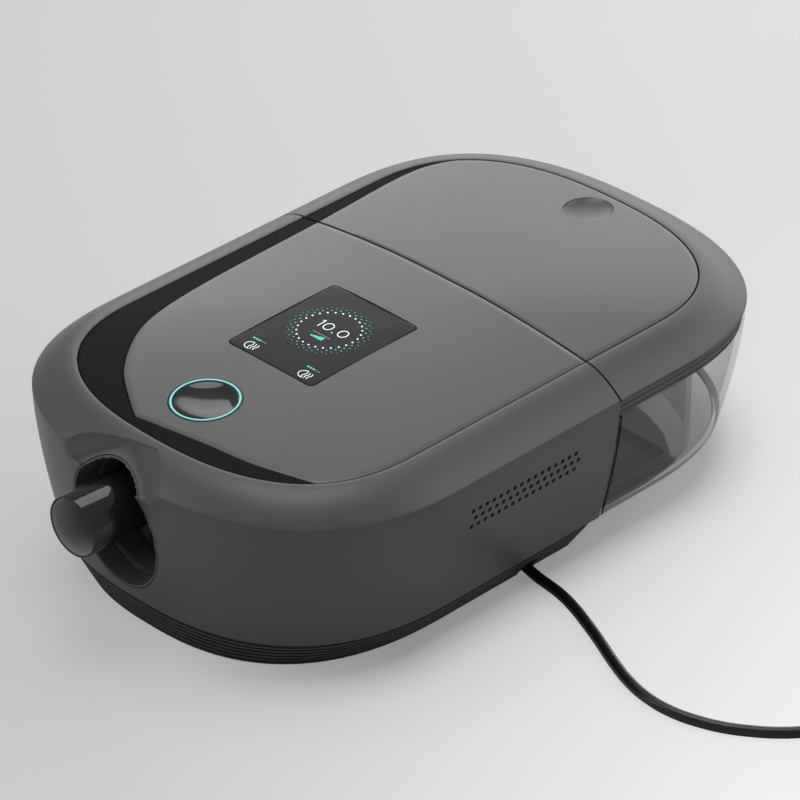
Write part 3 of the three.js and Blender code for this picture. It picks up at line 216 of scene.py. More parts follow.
def pushed(line, by):
    """A line moved sideways, away from the panel."""
    made = []
    for i, point in enumerate(line):
        along = line[min(i + 1, len(line) - 1)] - line[max(i - 1, 0)]
        side = Vector((along.y, -along.x)).normalized()
        made.append(point + side * by)
    return made


def crossing(a, b, c, d):
    """Where segment a-b crosses segment c-d, as a share of each, or None."""
    r, s = b - a, d - c
    turn = r.x * s.y - r.y * s.x
    if abs(turn) < 1e-12:
        return None
    t = ((c.x - a.x) * s.y - (c.y - a.y) * s.x) / turn
    u = ((c.x - a.x) * r.y - (c.y - a.y) * r.x) / turn
    return (t, u) if 0 <= t <= 1 and 0 <= u <= 1 else None


def crossings(line, loop):
    """Every crossing of a line with a closed loop: (position on the line, position on the loop)."""
    found = []
    for i, (a, b) in enumerate(zip(line, line[1:])):
        for j, c in enumerate(loop):
            hit = crossing(a, b, c, loop[(j + 1) % len(loop)])
            if hit:
                found.append((i + hit[0], j + hit[1]))
    return found


def part_of(line, start, end):
    """The part of a line between two positions, which may run on round a closed loop."""
    count = len(line)
    if end < start:
        end += count
    at = lambda p: line[int(p) % count].lerp(line[(int(p) + 1) % count], p - int(p))
    between = [line[i % count] for i in range(int(start) + 1, int(end) + 1) if start < i < end]
    return [at(start)] + between + [at(end)]


def resampled(line, count):
    """The same line with evenly spread points."""
    run = list(accumulate(((b - a).length for a, b in zip(line, line[1:])), initial=0.0))
    return [line[k].lerp(line[k + 1], share) for k, share in even_places(run, count)]


def rim_loop(by):
    """The rim of the opening, moved in, as a closed loop that runs anticlockwise from the right."""
    return [Vector(point) for point in plan(inset(RIM, by), 120)]


def left_position(line, y):
    """Where a line passes a given y on the left of the machine."""
    for i, (a, b) in enumerate(zip(line, line[1:])):
        if (a.y - y) * (b.y - y) <= 0 and a.y != b.y and a.x < 0:
            return i + (y - a.y) / (b.y - a.y)
    raise ValueError("the line doesn't reach that place")


def rim_position(rim, y, side):
    """Where the right (1) or the left (-1) flank of the rim passes a given y."""
    for i, a in enumerate(rim):
        b = rim[(i + 1) % len(rim)]
        if side * a.x > 0 and side * b.x > 0 and side * a.y <= side * y < side * b.y:
            return i + (y - a.y) / (b.y - a.y)
    raise ValueError("the rim doesn't reach that place")


def straight(a, b, count):
    return [a.lerp(b, i / (count - 1)) for i in range(count)]


def rounded_box(x, y, width, depth, corner, grow=0.0, steps=6):
    points = []
    for quarter, (sx, sy) in enumerate(((1, 1), (-1, 1), (-1, -1), (1, -1))):
        for i in range(steps + 1):
            a = (quarter + i / steps) * math.pi / 2
            points.append(Vector((x + sx * (width / 2 + grow - corner) + corner * math.cos(a),
                                  y + sy * (depth / 2 + grow - corner) + corner * math.sin(a))))
    return points


# Modelling

def pick(*pieces):
    """Selects pieces and nothing else; the first is the active one."""
    bpy.ops.object.select_all(action="DESELECT")
    for piece in pieces:
        piece.select_set(True)
    bpy.context.view_layer.objects.active = pieces[0]


def edit(piece):
    pick(piece)
    bpy.ops.object.mode_set(mode="EDIT")


def done():
    bpy.ops.object.mode_set(mode="OBJECT")


def named(name):
    piece = bpy.context.object
    piece.name = name
    piece.data.name = name
    return piece


def settle(piece):
    """Puts a piece's place into its mesh, so that its object sits at the origin."""
    piece.data.transform(piece.matrix_world)
    piece.matrix_world = Matrix.Identity(4)


def lofted(name, rings, closing="caps"):
    """A circle is extruded from ring to ring, then closed at its ends or into a loop."""
    count = len(rings[0])
    bpy.ops.mesh.primitive_circle_add(vertices=count, radius=0.1)
    piece = named(name)
    edit(piece)
    bpy.ops.mesh.select_all(action="SELECT")
    order = {i: i for i in range(count)}
    for level_number, points in enumerate(rings):
        mesh = bmesh.from_edit_mesh(piece.data)
        if level_number:
            before = len(mesh.verts)
            bpy.ops.mesh.extrude_edges_move()
            mesh = bmesh.from_edit_mesh(piece.data)
            mesh.verts.ensure_lookup_table()
            for vert in mesh.verts[before:]:
                lower = next(edge.other_vert(vert) for edge in vert.link_edges
                             if edge.other_vert(vert).index < before)
                order[vert.index] = order[lower.index]
        mesh.verts.ensure_lookup_table()
        for vert in mesh.verts[-count:]:
            x, y, z = points[order[vert.index]]
            vert.co = (x * MM, (y + SHIFT) * MM, z * MM)
        bmesh.update_edit_mesh(piece.data)
    mesh = bmesh.from_edit_mesh(piece.data)
    mesh.verts.ensure_lookup_table()
    ends = [[v.index for v in mesh.verts[:count]], [v.index for v in mesh.verts[-count:]]]
    if closing == "caps":
        for end in ends:
            choose(piece, lambda v, end=set(end): v.index in end)
            bpy.ops.mesh.edge_face_add()
    else:
        choose(piece, lambda v, both=set(ends[0] + ends[1]): v.index in both)
        bpy.ops.mesh.bridge_edge_loops()
    bpy.ops.mesh.select_all(action="SELECT")
    bpy.ops.mesh.normals_make_consistent(inside=False)
    done()
    return piece


def choose(piece, wanted):
    """Selects the vertices that a test picks, and the edges and faces between them."""
    bpy.ops.mesh.select_mode(type="VERT")
    mesh = bmesh.from_edit_mesh(piece.data)
    for element in (*mesh.faces, *mesh.edges, *mesh.verts):
        element.select = False
    for vert in mesh.verts:
        vert.select = wanted(vert)
    mesh.select_flush(True)
    bmesh.update_edit_mesh(piece.data)


def sliced(piece, y, **clearing):
    """Splits a piece's faces along a plane across it. Where a side is cleared away, the cut is closed."""
    edit(piece)
    bpy.ops.mesh.select_all(action="SELECT")
    bpy.ops.mesh.bisect(plane_co=(0, (y + SHIFT) * MM, 0), plane_no=(0, 1, 0), use_fill=bool(clearing),
                        **clearing)
    done()
    return piece


def front_of(piece, y):
    return sliced(piece, y, clear_outer=True)


def rear_of(piece, y):
    return sliced(piece, y, clear_inner=True)


def combined(piece, other, operation="DIFFERENCE"):
    """Cuts, joins or trims a piece with another closed one, which is then removed."""
    modifier = piece.modifiers.new(operation.lower(), "BOOLEAN")
    modifier.object = other
    modifier.operation = operation
    modifier.solver = "EXACT"
    pick(piece)
    bpy.ops.object.modifier_apply(modifier=modifier.name)
    bpy.data.objects.remove(other)
    return piece


def smooth(piece, degrees=32):
    pick(piece)
    bpy.ops.object.shade_smooth_by_angle(angle=math.radians(degrees))
    return piece


def finished(piece, body, slot, *nodes, look=None):
    """Gives a piece its finish, which is its slot's where no other is named, and its place in the frame."""
    piece.data.materials.clear()
    piece.data.materials.append(LOOK[look or slot])
    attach(piece, body)
    if nodes:
        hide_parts(*nodes)


def edged(piece, wanted, look="clear_edge"):
    """Gives the faces that a test picks another look; by default a dark, denser clear that paints shade on a
    clear piece's edges.
    """
    piece.data.materials.append(LOOK[look])
    for face in piece.data.polygons:
        if wanted(face):
            face.material_index = len(piece.data.materials) - 1


def placed(name, centre, scale):
    """Gives the newest primitive its name, its size and its place in the shell's own drawing."""
    piece = named(name)
    piece.scale = scale
    piece.location = (centre[0] * MM, (centre[1] + SHIFT) * MM, centre[2] * MM)
    bpy.context.view_layer.update()
    settle(piece)
    return piece


def block(name, low, high):
    bpy.ops.mesh.primitive_cube_add(size=1)
    return placed(name, [(a + b) / 2 for a, b in zip(low, high)], [(b - a) * MM for a, b in zip(low, high)])


def ball(name, centre, radii):
    bpy.ops.mesh.primitive_uv_sphere_add(segments=64, ring_count=48, radius=MM)
    return placed(name, centre, radii)


def column(name, points, z0, z1):
    return lofted(name, [[(p.x, p.y, z) for p in points] for z in (z0, z1)])


def stack(name, levels, closing="caps"):
    """A piece drawn by levels of the housing's outline."""
    return lofted(name, [ring(level) for level in levels], closing)


def whole_body(name, by=0.0):
    """The housing's outside as one solid, moved in."""
    return stack(name, [inset(level, by) for level in outer_levels(FOOT["z"])])


def along_y_rings(profile, x, z, sides=72, stretch=1.0):
    """Rings for a piece turned about a line that runs front to back: [radius, y] pairs."""
    return [[(x + radius * math.cos(a), y, z + radius * stretch * math.sin(a)) for a in circle(sides)]
            for radius, y in profile]


def merged(name, pieces):
    bpy.context.view_layer.update()
    for piece in pieces:
        settle(piece)
    pick(*pieces)
    bpy.ops.object.join()
    return named(name)


# Finishes

class Wire:
    """A shader value that takes part in sums."""

    def __init__(self, finish, socket):
        self.finish, self.socket = finish, socket

    def _sum(self, operation, *values):
        return self.finish.node("ShaderNodeMath", {"operation": operation}, dict(enumerate(values)))

    def __add__(self, other):
        return self._sum("ADD", self, other)

    def __radd__(self, other):
        return self._sum("ADD", other, self)

    def __sub__(self, other):
        return self._sum("SUBTRACT", self, other)

    def __rsub__(self, other):
        return self._sum("SUBTRACT", other, self)

    def __mul__(self, other):
        return self._sum("MULTIPLY", self, other)

    def __rmul__(self, other):
        return self._sum("MULTIPLY", other, self)


class Finish:
    """One procedural material, built node by node."""

    def __init__(self, name):
        self.material = bpy.data.materials.new(name)
        self.material.use_nodes = True
        self.tree = self.material.node_tree
        self.tree.nodes.clear()
        self.out = self.tree.nodes.new("ShaderNodeOutputMaterial")

    def node(self, kind, settings=None, inputs=None, output=0):
        made = self.tree.nodes.new(kind)
        for key, value in (settings or {}).items():
            if key == "stops":
                ramp = made.color_ramp.elements
                while len(ramp) < len(value):
                    ramp.new(0.5)
                for stop, (position, colour) in zip(ramp, value):
                    stop.position, stop.color = position, colour
            else:
                setattr(made, key, value)
        for key, value in (inputs or {}).items():
            if isinstance(value, Wire):
                self.tree.links.new(value.socket, made.inputs[key])
            else:
                made.inputs[key].default_value = value
        return Wire(self, made.outputs[output])

    def place(self):
        return self.node("ShaderNodeTexCoord", output="Object")

    def clamped(self, value):
        return self.node("ShaderNodeClamp", None, {0: value})

    def noise(self, scale, detail=2.0, place=None):
        return self.node("ShaderNodeTexNoise", None, {
            "Vector": place or self.place(), "Scale": scale, "Detail": detail, "Roughness": 0.5})

    def tint(self, dark, light, amount):
        return self.node("ShaderNodeMix", {"data_type": "RGBA"}, {"Factor": amount, 6: dark, 7: light}, 2)

    def bump(self, height, distance):
        return self.node("ShaderNodeBump", None, {"Height": height, "Distance": distance, "Strength": 1.0})

    def vectors(self, operation, *values, output=0):
        return self.node("ShaderNodeVectorMath", {"operation": operation}, dict(enumerate(values)), output)

    def surface(self, **sockets):
        inputs = {key.replace("_", " "): value for key, value in sockets.items()}
        self.tree.links.new(self.node("ShaderNodeBsdfPrincipled", None, inputs).socket, self.out.inputs[0])
        return self.material


def colour(code, factor=1.0):
    """A written colour, such as 4a4a4a, as the shader takes it."""
    made = []
    for i in (0, 2, 4):
        value = int(code[i:i + 2], 16) / 255
        made.append((value / 12.92 if value <= 0.04045 else ((value + 0.055) / 1.055) ** 2.4) * factor)
    return (*made, 1.0)


def moulded_plastic(name, code, roughness, grain=1400.0, depth=0.00002, shine=0.5):
    """Plastic with the fine grain of its mould and a little unevenness in tone and gloss."""
    f = Finish(name)
    cloud = f.noise(14.0, 3.0)
    fine = f.noise(grain, 2.0)
    return f.surface(Base_Color=f.tint(colour(code, 0.95), colour(code, 1.05), cloud),
                     Roughness=roughness - 0.03 + 0.06 * f.noise(60.0, 3.0),
                     Normal=f.bump(fine, depth), Specular_IOR_Level=shine)


def clear_plastic(name, code, alpha, roughness, edge_alpha, shaded_edge_tone=1.0):
    """See-through plastic that closes up and mirrors more at a glancing view; an edge tone under 1 also
    darkens its colour there, painted shade along its outline.
    """
    f = Finish(name)
    edge = f.node("ShaderNodeLayerWeight", None, {"Blend": 0.3}, 1)
    cloudy = f.tint(colour(code, 0.97), colour(code, 1.03), f.noise(25.0))
    return f.surface(Base_Color=f.tint(cloudy, colour(code, shaded_edge_tone), edge),
                     Roughness=roughness + 0.02 * f.noise(80.0),
                     Alpha=alpha + (edge_alpha - alpha) * edge * edge * edge, IOR=1.5)


def rubber(name, code):
    f = Finish(name)
    return f.surface(Base_Color=f.tint(colour(code, 0.9), colour(code, 1.12), f.noise(40.0, 4.0)),
                     Roughness=0.78 + 0.1 * f.noise(90.0), Normal=f.bump(f.noise(2600.0), 0.00003))


def glowing(name, code, strength):
    f = Finish(name)
    even = f.noise(30.0)
    light = f.tint(colour(code, 0.92), colour(code, 1.05), even)
    return f.surface(Base_Color=colour(code), Roughness=0.35 + 0.05 * even, Emission_Color=light,
                     Emission_Strength=strength)


def lit_ring(name):
    """Smoked plastic with a bright line of light along its middle."""
    f = Finish(name)
    aside = f.vectors("SUBTRACT", f.place(), (BUTTON[0] * MM, (BUTTON[1] + SHIFT) * MM, 0))
    radius = f.vectors("LENGTH", f.vectors("MULTIPLY", aside, (1, 1, 0)), output=1)
    line = f.node("ShaderNodeValToRGB", {"stops": [
        (0.06, colour("0c3a3c")), (0.16, colour("86e2dc")), (0.34, colour("9aeee8")),
        (0.52, colour("86e2dc")), (0.66, colour("17585a")), (1.0, colour("0a2c2e"))]},
        {0: (radius - 0.01128) * 820})
    even = f.noise(30.0)
    return f.surface(Base_Color=colour("14282a"), Roughness=0.35 + 0.05 * even, Emission_Color=line,
                     Emission_Strength=1.0, Normal=f.bump(even, 0.00002))


def brushed_metal(name, code, roughness):
    f = Finish(name)
    stretched = f.node("ShaderNodeMapping", None, {"Vector": f.place(), "Scale": (0.05, 1, 1)})
    lines = f.noise(900.0, 2.0, stretched)
    return f.surface(Base_Color=f.tint(colour(code, 0.9), colour(code, 1.05), lines), Metallic=1.0,
                     Roughness=roughness - 0.06 + 0.12 * lines, Normal=f.bump(lines, 0.00002))


def circuit_board(name):
    f = Finish(name)
    lanes = f.node("ShaderNodeTexBrick", None, {"Vector": f.place(), "Scale": 160.0, "Mortar Size": 0.03,
                                                "Color1": colour("1f4a36"), "Color2": colour("24543d"),
                                                "Mortar": colour("3f7a58")})
    return f.surface(Base_Color=lanes, Roughness=0.4 + 0.1 * f.noise(200.0),
                     Normal=f.bump(f.noise(700.0), 0.00004))


def winding(name):
    f = Finish(name)
    turns = f.node("ShaderNodeTexWave", {"bands_direction": "Z"}, {"Vector": f.place(), "Scale": 420.0}, 1)
    return f.surface(Base_Color=f.tint(colour("7c4420"), colour("b8763f"), turns), Metallic=0.85,
                     Roughness=0.3 + 0.15 * turns, Normal=f.bump(turns, 0.0002))


def open_foam(name):
    f = Finish(name)
    cells = f.node("ShaderNodeTexVoronoi", None, {"Vector": f.place(), "Scale": 900.0})
    return f.surface(Base_Color=f.tint(colour("4d4f50"), colour("9a9c9d"), cells), Roughness=0.95,
                     Normal=f.bump(cells, 0.0004))


def make_finishes():
    LOOK.update(
        housing_grey=moulded_plastic("shell_plastic", "484848", 0.4),
        panel=moulded_plastic("panel_plastic", "505050", 0.34),
        black_trim=moulded_plastic("trim_plastic", "0c0c0d", 0.7, shine=0.1),
        base_plastic=moulded_plastic("base_plastic", "3a3a3b", 0.55, shine=0.3),
        cup=moulded_plastic("recess_plastic", "4e4e4f", 0.5, shine=0.3),
        # the platform's pale grey is partly its own tone and partly raised as painted light, as little light
        # reaches it under the tank
        platform=moulded_plastic("platform_plastic", "c8c9ca", 0.5),
        plate=moulded_plastic("heater_dark", "555657", 0.5, depth=0.000003, shine=0.2),
        inner_plastic=moulded_plastic("inner_plastic", "36373a", 0.55),
        display_glass=moulded_plastic("display_gloss", "2c2c2c", 0.3, 900.0, 0.000004, 0.08),
        button_black=moulded_plastic("button_gloss", "1c1d1e", 0.1, 900.0, 0.000002),
        smoky_clear=clear_plastic("smoky_clear", "1c1d1e", 0.9, 0.04, 0.98),
        # light grey on the outlet's inner wall: painted light standing in for light seen inside the smoky
        # tube
        bore=moulded_plastic("bore_painted_light", "88898a", 0.5),
        clear_tank=clear_plastic("tank_clear", "58595a", 0.14, 0.04, 0.6),
        # edge tone 0.12: the arches darken at a glancing view, painted shade along their outline
        arch=clear_plastic("arch_clear", "8a8c8d", 0.14, 0.06, 0.75, 0.12),
        # a paler, denser clear: painted light on the tank's floor, where little light reaches through the
        # walls
        clear_floor=clear_plastic("clear_floor", "acadae", 0.42, 0.3, 0.6),
        # a dark, denser clear: painted shade on the edges and foot of clear pieces
        clear_edge=clear_plastic("clear_edge", "3c3d3e", 0.72, 0.05, 0.9),
        rubber_black=rubber("soft_rubber", "1a1a1b"),
        seal=rubber("gasket_rubber", "565657"),
        cord_black=moulded_plastic("cord_jacket", "0d0d0e", 0.28, 1800.0, 0.00001),
        teal_light=lit_ring("teal_ring"),
        steel=brushed_metal("brushed_metal", "a9acae", 0.32),
        board_green=circuit_board("circuit_board"),
        copper=winding("copper_winding"),
        foam_grey=open_foam("open_foam"),
        white_mark=glowing("white_marks", "d8e2e2", 0.75),
        dim_mark=glowing("dim_marks", "5c6868", 0.5),
        teal_mark=glowing("teal_marks", "3fb0a8", 0.75),
    )


OWN_LOOKS = {"tank_platform": "platform", "tank_base_plate": "plate", "heater_plate": "plate"}


def dress_nodes():
    slots = {row["node"]: row["material_slot"] for row in frame["record"]["subparts"]}
    for name, node in frame["nodes"].items():
        node.data.materials.clear()
        node.data.materials.append(LOOK[OWN_LOOKS.get(name, slots[name])])


# Camera and supply lead

def add_camera():
    lens = bpy.data.cameras.new("camera")
    lens.sensor_width = 36
    lens.lens = 225
    lens.clip_end = 20
    camera = bpy.data.objects.new("camera", lens)
    camera.location = (1.0421, -1.0318, 0.9718)
    back = Vector((0.5974, -0.5968, 0.5357))
    camera.rotation_euler = back.to_track_quat("Z", "Y").to_euler()
    bpy.context.scene.collection.objects.link(camera)
    bpy.context.scene.camera = camera


ROUTE = [
    (56.3, 1.9, 5.8), (60, 1.9, 5.7), (64.5, 1.9, 4.9), (69.5, 1.8, 3.4), (74.5, 1.6, 2.3), (79.5, 1.2, 2),
    (86, 0.2, 2), (95, -2.4, 2), (105, -6.4, 2), (115.3, -11, 2), (127, -16.6, 2), (138.5, -21.2, 2),
    (149.3, -23.6, 2), (160, -23.6, 2), (169.7, -21.3, 2), (178, -17.8, 2), (185, -13.4, 2),
    (191.8, -8.1, 2.1), (197.9, -2, 2.4), (203.2, 4.9, 2.8), (207.6, 12, 3), (211.7, 18.65, 3.1),
]
COIL_X, COIL_Y, COIL_Z = 238.5, 7, 3.1
COIL_RADIUS, PITCH, LAYERS, LAYER_TURNS = 28.9, 4.5, 4, 2.75
COIL_HEADING, COIL_STEPS, CLIMB = 58, 24, 0.25
LEAD_IN, LEAD_OUT = 4, 14
LEAD_LENGTH, LEAD_THICKNESS = 1.763, 4


def coil_point(turns):
    """A point of the coil, which winds in and out by layers and climbs where it turns back."""
    leg = min(LAYERS - 1, int(turns / LAYER_TURNS))
    into = turns - leg * LAYER_TURNS
    inward = into if leg % 2 == 0 else LAYER_TURNS - into
    radius = COIL_RADIUS - PITCH * inward
    layer = leg
    for reversal in range(1, LAYERS):
        distance = turns - reversal * LAYER_TURNS
        if abs(distance) < CLIMB:
            share = (distance + CLIMB) / (2 * CLIMB)
            layer = reversal - 1 + share * share * (3 - 2 * share)
    angle = math.radians(COIL_HEADING) + math.pi / 2 - math.tau * turns
    return Vector((COIL_X + radius * math.cos(angle), COIL_Y + radius * math.sin(angle),
                   COIL_Z + PITCH * layer))


def add_lead():
    total = LAYERS * LAYER_TURNS
    heading = math.radians(COIL_HEADING)
    ahead = Vector((math.cos(heading), math.sin(heading), 0))
    wound = [coil_point(i / COIL_STEPS) for i in range(int(total * COIL_STEPS) + 1)]
    points = [Vector(p) for p in ROUTE] + [wound[0] - ahead * LEAD_IN] + wound
    points.append(wound[-1] + ahead * LEAD_OUT)
    line = bpy.data.curves.new("supply_lead", "CURVE")
    line.dimensions = "3D"
    line.bevel_depth = LEAD_THICKNESS / 2 * MM
    line.bevel_resolution = 4
    line.resolution_u = 6
    line.use_fill_caps = True
    run = line.splines.new("BEZIER")
    run.bezier_points.add(len(points) - 1)
    for knot, point in zip(run.bezier_points, points):
        knot.co = point * MM
        knot.handle_left_type = knot.handle_right_type = "AUTO"
    lead = bpy.data.objects.new("supply_lead", line)
    bpy.context.scene.collection.objects.link(lead)
    finished(lead, "housing", "cord_black", "cord_run", "cord_coil")


# Housing and tank frame

FRAME_FOOT = 65.5
BAR_TOP = 71.4
HINGE_Y, HINGE_Z = 25.3, 77.5
EAR = 14
FACET = [Vector(corner) for corner in (
    (-25.5, -126.2, 61.5), (-5, -118.6, 72.8), (4.5, -117, 73.5), (12.7, -127.4, 62.0))]
FACET_OUT = Vector((0, -0.76, 0.65))
FACET_RISE, FACET_BACKING = -0.9, 3
VENT_ROWS, VENT_COLUMNS, VENT_SPACING = 3, 16, 3.3
VENT_Y, VENT_Z = -47, 50.5


def facet_block(name, underside):
    """A block over the flat above the outlet, from some way off that flat; its sides lean out."""
    middle = sum(FACET, Vector()) / 4
    rings = []
    for rise, spread in ((underside, 0.5), (12, 38)):
        corners = [c + (c - middle).normalized() * spread + FACET_OUT * rise for c in FACET]
        rings.append([tuple(c) for c in corners])
    return lofted(name, rings)


def vent_drill():
    """The round holes of the vents in the right side, as one cutter."""
    holes = []
    for row in range(VENT_ROWS):
        for number in range(VENT_COLUMNS):
            y = VENT_Y + (number + (row % 2) / 2) * VENT_SPACING
            z = VENT_Z + (row - 1) * VENT_SPACING
            bpy.ops.mesh.primitive_cylinder_add(vertices=12, radius=0.95 * MM, depth=20 * MM,
                                                location=(80 * MM, (y + SHIFT) * MM, z * MM),
                                                rotation=(0, math.pi / 2, 0))
            holes.append(bpy.context.object)
    return merged("vent_cutter", holes)


def add_housing_shell():
    shell = front_of(stack("housing_shell", hollow_levels(FOOT["z"]), "loop"), SEAM_FRONT)
    backing = facet_block("facet_backing", FACET_RISE - FACET_BACKING)
    combined(shell, combined(backing, whole_body("body_cutter", 0.7), "INTERSECT"), "UNION")
    mouth = [(MOUTH_RADIUS, -150), (MOUTH_RADIUS, -102)]
    combined(shell, lofted("mouth_cutter", along_y_rings(mouth, *MOUTH, SMOOTH_ROUND, MOUTH_STRETCH)))
    combined(shell, vent_drill())
    combined(shell, facet_block("facet_cutter", FACET_RISE))
    finished(smooth(shell), "housing", "housing_grey", "main_shell")


def across_rod(name, x0, x1, radius):
    """A rod along the lid's hinge."""
    return lofted(name, [[(x, HINGE_Y + radius * math.cos(a), HINGE_Z + radius * math.sin(a))
                          for a in circle(24)] for x in (x0, x1)])


def ear(name, side, half, low, high_y, radius):
    """A post with a round top about the hinge's line, on the right (1) or the left (-1)."""
    left, right = side * EAR - half, side * EAR + half
    post = block(name, (left, *low), (right, high_y, HINGE_Z))
    return combined(post, across_rod("ear_round", left, right, radius), "UNION")


def add_tank_frame():
    top = rear_of(stack("tank_top_frame", hollow_levels(FRAME_FOOT), "loop"), SEAM_REAR)
    crossbar = block("crossbar", (-90, SEAM_REAR, FRAME_FOOT), (90, SEAM_REAR + 5, BAR_TOP))
    combined(top, combined(crossbar, whole_body("body_cutter"), "INTERSECT"), "UNION")
    for side in (-1, 1):
        combined(top, ear("ear_post", side, 1.5, (HINGE_Y - 0.2, BAR_TOP - 1), HINGE_Y + 1.2, 1.2), "UNION")
    combined(top, across_rod("pin_cutter", -30, 30, 0.8))
    finished(smooth(top), "water_tank", "housing_grey", "tank_frame")


# Crowned panels

UNDERSIDE_SHARES = (0.02, 0.3, 0.6, 0.85)
TOP_SHARES = (0, 0.03, 0.08, 0.15, 0.23, 0.31, 0.39, 0.47, 0.55, 0.63, 0.71, 0.79, 0.87, 0.94, 0.98)
SCREEN_CORNER = 2.2
BUTTON_HOLE = 12.8
LID_GAP = 0.5
SEAM_WALL = dict(front=20.1, rear=22.6, foot=69.4, below=2.55)
SCOOP_Y, SCOOP = 97.5, (8.5, 10.5, 2.3)
CRESCENT_TIP = 0.4
CRESCENT_SECTION = [(0, 2.2), (0, 0.25), (0.02, 0.04), (0.06, 0), (0.25, 0), (0.5, 0), (0.75, 0), (0.94, 0),
                    (0.98, 0.04), (1, 0.25), (1, 2.2), (0.5, 2.2)]


def crowned(name, outline, middle, thickness=PANEL, edge=0.35):
    """A panel on the crown: its outline is extruded up its edge, eased over, and drawn in to the middle."""
    def on_crown(points, below):
        return [(p.x, p.y, dome_z(p.x, p.y) - below) for p in points]

    def inward(by):
        return [p + (middle - p).normalized() * by for p in outline]

    rings = [on_crown([middle + (p - middle) * share for p in outline], thickness)
             for share in UNDERSIDE_SHARES]
    rings += [on_crown(outline, thickness), on_crown(outline, edge), on_crown(inward(edge * 0.3), edge * 0.3)]
    rings += [on_crown([p + (middle - p) * share for p in inward(edge)], 0.0) for share in TOP_SHARES]
    return lofted(name, rings)


def add_top_cover():
    edge = panel_edge()
    rim = rim_loop(GAP)
    on_edge, on_rim = sorted(crossings(edge, rim))[-1]
    left = part_of(edge, left_position(edge, SEAM_FRONT), on_edge)
    right = part_of(rim, on_rim, rim_position(rim, SEAM_FRONT, 1))
    outline = resampled(left, 120)[:-1] + resampled(right, 60)[:-1] + straight(right[-1], left[0], 44)[:-1]
    panel = crowned("top_cover", outline, Vector((4, -38)))
    hole = [Vector((BUTTON[0] + BUTTON_HOLE * math.cos(a), BUTTON[1] + BUTTON_HOLE * math.sin(a)))
            for a in circle(72)]
    combined(panel, column("button_cutter", hole, 60, 90))
    combined(panel, column("screen_cutter", rounded_box(*SCREEN, SCREEN_CORNER, GAP), 60, 90))
    finished(smooth(panel), "housing", "housing_grey", "top_panel", look="panel")


def add_seam_wall():
    """The narrow wall between the housing's rear and the crowned panel."""
    front, rear, foot, below = SEAM_WALL.values()
    rings = [[(x, front, foot), (x, rear, foot), (x, rear, dome_z(x, rear) - below),
              (x, front, dome_z(x, front) - below)] for x in range(-60, 61, 2)]
    finished(smooth(lofted("seam_wall", rings)), "housing", "inner_plastic")


def add_lid():
    edge = panel_edge()
    rim = rim_loop(LID_GAP)
    on_edge, on_rim = sorted(crossings(edge, rim))[0]
    left = part_of(edge, on_edge, left_position(edge, SEAM_REAR))
    right = part_of(rim, rim_position(rim, SEAM_REAR, 1), on_rim)
    outline = resampled(left, 70)[:-1] + straight(left[-1], right[0], 44)[:-1] + resampled(right, 110)[:-1]
    lid = crowned("lid_cover", outline, Vector((2, 66)))
    combined(lid, ball("scoop_cutter", (0, SCOOP_Y, dome_z(0, SCOOP_Y)), SCOOP))
    for side in (-1, 1):
        combined(lid, ear("ear_notch", side, 1.8, (SEAM_REAR - 2, 70), HINGE_Y + 1.4, 1.35))
    finished(smooth(lid), "tank_lid", "housing_grey", "lid_panel", look="panel")


def crescent(name, inner, outer):
    """A tapering strip of trim between two lines that meet at its tip."""
    rings = []
    for start, end in zip(inner, outer):
        across = end - start
        if across.length < CRESCENT_TIP:
            across = across.normalized() * CRESCENT_TIP if across.length > 1e-6 else Vector((CRESCENT_TIP, 0))
        section = []
        for share, below in CRESCENT_SECTION:
            p = start + across * share
            section.append((p.x, p.y, dome_z(p.x, p.y) - GAP - below))
        rings.append(section)
    return smooth(lofted(name, rings))


def add_crescents():
    line = pushed(panel_edge(), GAP)
    rim = rim_loop(GAP)
    hits = sorted(crossings(line, rim))
    inner = part_of(line, left_position(line, SEAM_FRONT), hits[-1][0])
    outer = part_of(rim, rim_position(rim, SEAM_FRONT, -1), hits[-1][1])
    front = crescent("front_crescent", resampled(inner, 150), resampled(outer, 150))
    finished(front, "housing", "black_trim", "trim_front")
    inner = part_of(line, hits[0][0], left_position(line, SEAM_REAR))
    outer = part_of(rim, hits[0][1], rim_position(rim, SEAM_REAR, -1))
    rear = crescent("rear_crescent", resampled(inner, 80), resampled(outer, 80))
    finished(rear, "water_tank", "black_trim", "trim_rear")


# Display and button

DIAL = (-2.0, -29.3)
SIGNS_X = (-14.6, 11.6)
SIGNS_Y, BARS_Y = -54.0, -49.9
STROKE = 0.24


def add_screen():
    glass = crowned("screen_glass", rounded_box(*SCREEN, SCREEN_CORNER), Vector(SCREEN[:2]), 1.5, 0.2)
    finished(smooth(glass), "housing", "display_glass", "display_glass")


def disc(x, y, radius):
    bpy.ops.mesh.primitive_cylinder_add(vertices=12, radius=radius * MM, depth=0.1 * MM,
                                        location=(x * MM, y * MM, 0))
    return bpy.context.object


def bar(x, y, length, width, degrees=0.0):
    bpy.ops.mesh.primitive_cube_add(size=1, location=(x * MM, y * MM, 0),
                                    rotation=(0, 0, math.radians(degrees)))
    made = bpy.context.object
    made.scale = (length * MM, width * MM, 0.1 * MM)
    return made


def lay_marks(name, look, pieces, lift=0.03):
    """Joins flat marks into one piece and lays it on the crown."""
    marks = merged(name, pieces)
    edit(marks)
    mesh = bmesh.from_edit_mesh(marks.data)
    for vert in mesh.verts:
        x, y = vert.co.x / MM, vert.co.y / MM
        vert.co.z += (dome_z(x, y) + lift) * MM
        vert.co.y += SHIFT * MM
    bmesh.update_edit_mesh(marks.data)
    done()
    finished(marks, "housing", "display_glass", look=look)


def dots(rows):
    """Rings of dots round the dial: how many, how far out, how large, and turned by what part of a step."""
    made = []
    for count, reach, radius, turn in rows:
        for i in range(count):
            a = math.tau * (i + turn) / count
            made.append(disc(DIAL[0] + reach * math.cos(a), DIAL[1] + reach * math.sin(a), radius))
    return made


